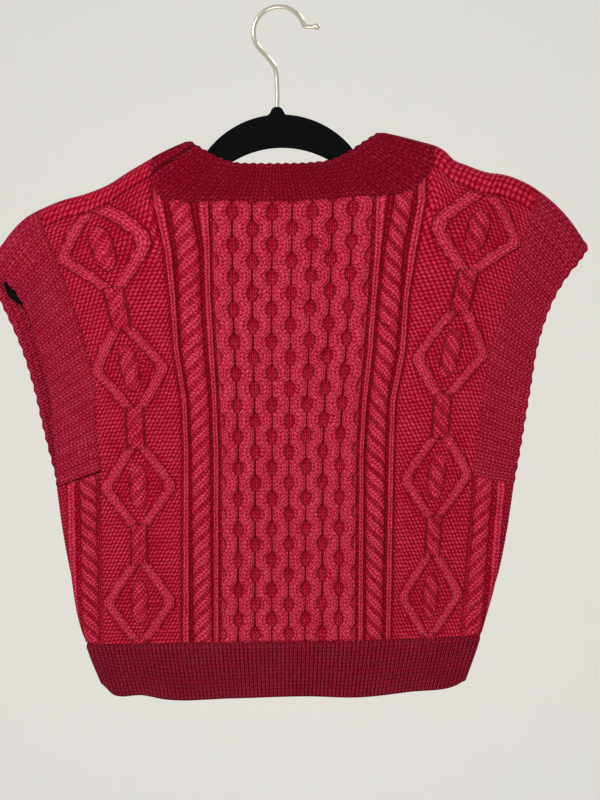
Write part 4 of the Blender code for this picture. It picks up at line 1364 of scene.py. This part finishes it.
def make_hook():
    """A circle carried along the hook's line; near the tip its radius follows a small ball."""
    turn = np.radians(np.linspace(HOOK_FROM, HOOK_TO, 40))
    arc = np.stack([HOOK_RADIUS * np.cos(turn), WIRE / 2 - HOOK_RADIUS + HOOK_RADIUS * np.sin(turn)], 1)
    route = along(np.vstack([HOOK_TIP, arc, HOOK_STEM]), 260)
    ball = np.linspace(0.0, 4.6, 14)
    lead = route[0] + (route[1] - route[0]) / np.linalg.norm(route[1] - route[0]) * (ball[:, None] - 1.0)
    length = np.linalg.norm(route - route[0], axis=1)
    route = np.vstack([lead, route[np.argmax(length > 4.2):]])
    radius = np.full(len(route), WIRE / 2)
    radius[:14] = np.maximum(BALL * rounded(ball / BALL - 1.0), np.where(ball > BALL, WIRE / 2, 0.02))
    ahead = np.gradient(route, axis=0)
    ahead /= np.linalg.norm(ahead, axis=1, keepdims=True)
    side = np.stack([-ahead[:, 1], ahead[:, 0]], axis=1)
    around = np.linspace(0.0, 2 * math.pi, 25)[:-1]
    flat = route[:, None] + side[:, None] * (radius[:, None] * np.cos(around))[..., None]
    y = radius[:, None] * np.sin(around)
    return plain_mesh("hook_wire", np.stack([flat[..., 0], y, flat[..., 1]], axis=-1), True, False)


# %% Collar
COLLAR_RINGS = [  # half width, half depth, z
    (0.02, 0.02, -77.9), (1.6, 1.6, -78.0), (2.8, 2.7, -78.4), (4.0, 3.4, -79.3), (4.8, 3.7, -80.6),
    (5.4, 3.7, -82.0), (6.4, 3.4, -83.6), (8.4, 2.9, -85.0), (11.0, 2.4, -86.0), (11.0, 2.0, -88.0)]


def make_collar():
    """Ellipses stacked on the stem: a rounded boss whose foot spreads into the board."""
    wide, deep, z = np.array(COLLAR_RINGS).T[..., None]
    turn = np.linspace(0.0, 2 * math.pi, 41)[:-1]
    x = HOOK_STEM[-1][0] + wide * np.cos(turn)
    grid = np.stack([x, deep * np.sin(turn), z + 0.0 * x], axis=-1)
    return plain_mesh("hook_boss", grid, True, False)


# %% Flock and metal
def flock():
    """Short black flock: nearly black, with a faint nap that catches light at the edges."""
    finish, shader, w = new_finish("black flock")
    place = w.node("ShaderNodeTexCoord").outputs["Object"]
    nap = w.noise(1800.0, 2.0, place)
    brushed = w.noise(45.0, 3.0, place)
    both = w.math("MULTIPLY_ADD", brushed, 0.6, w.math("MULTIPLY", nap, 0.4))
    w.ramp(both, (0.0, (0.0008, 0.0012, 0.0011)), (1.0, (0.0050, 0.0062, 0.0060)),
           shader.inputs["Base Color"])
    w.bump(nap, 0.5, 0.0004, shader.inputs["Normal"])
    shader.inputs["Roughness"].default_value = 0.95
    shader.inputs["Specular IOR Level"].default_value = 0.05
    shader.inputs["Sheen Weight"].default_value = 0.02
    shader.inputs["Sheen Roughness"].default_value = 0.35
    return finish


def plated():
    """Polished plated wire: a pale warm metal, its gloss a little uneven from handling."""
    finish, shader, w = new_finish("plated wire")
    smear = w.noise(260.0, 4.0, w.node("ShaderNodeTexCoord").outputs["Object"])
    finish.node_tree.links.new(w.math("MULTIPLY_ADD", smear, 0.18, 0.10), shader.inputs["Roughness"])
    shader.inputs["Base Color"].default_value = (0.72, 0.66, 0.54, 1)
    shader.inputs["Metallic"].default_value = 1.0
    return finish


FLOCK, PLATED = flock(), plated()
finish_piece(make_hanger(), FLOCK, ["hanger_body"])
finish_piece(make_hook(), PLATED, ["hanger_hook"])
finish_piece(make_collar(), FLOCK, ["hook_collar"])
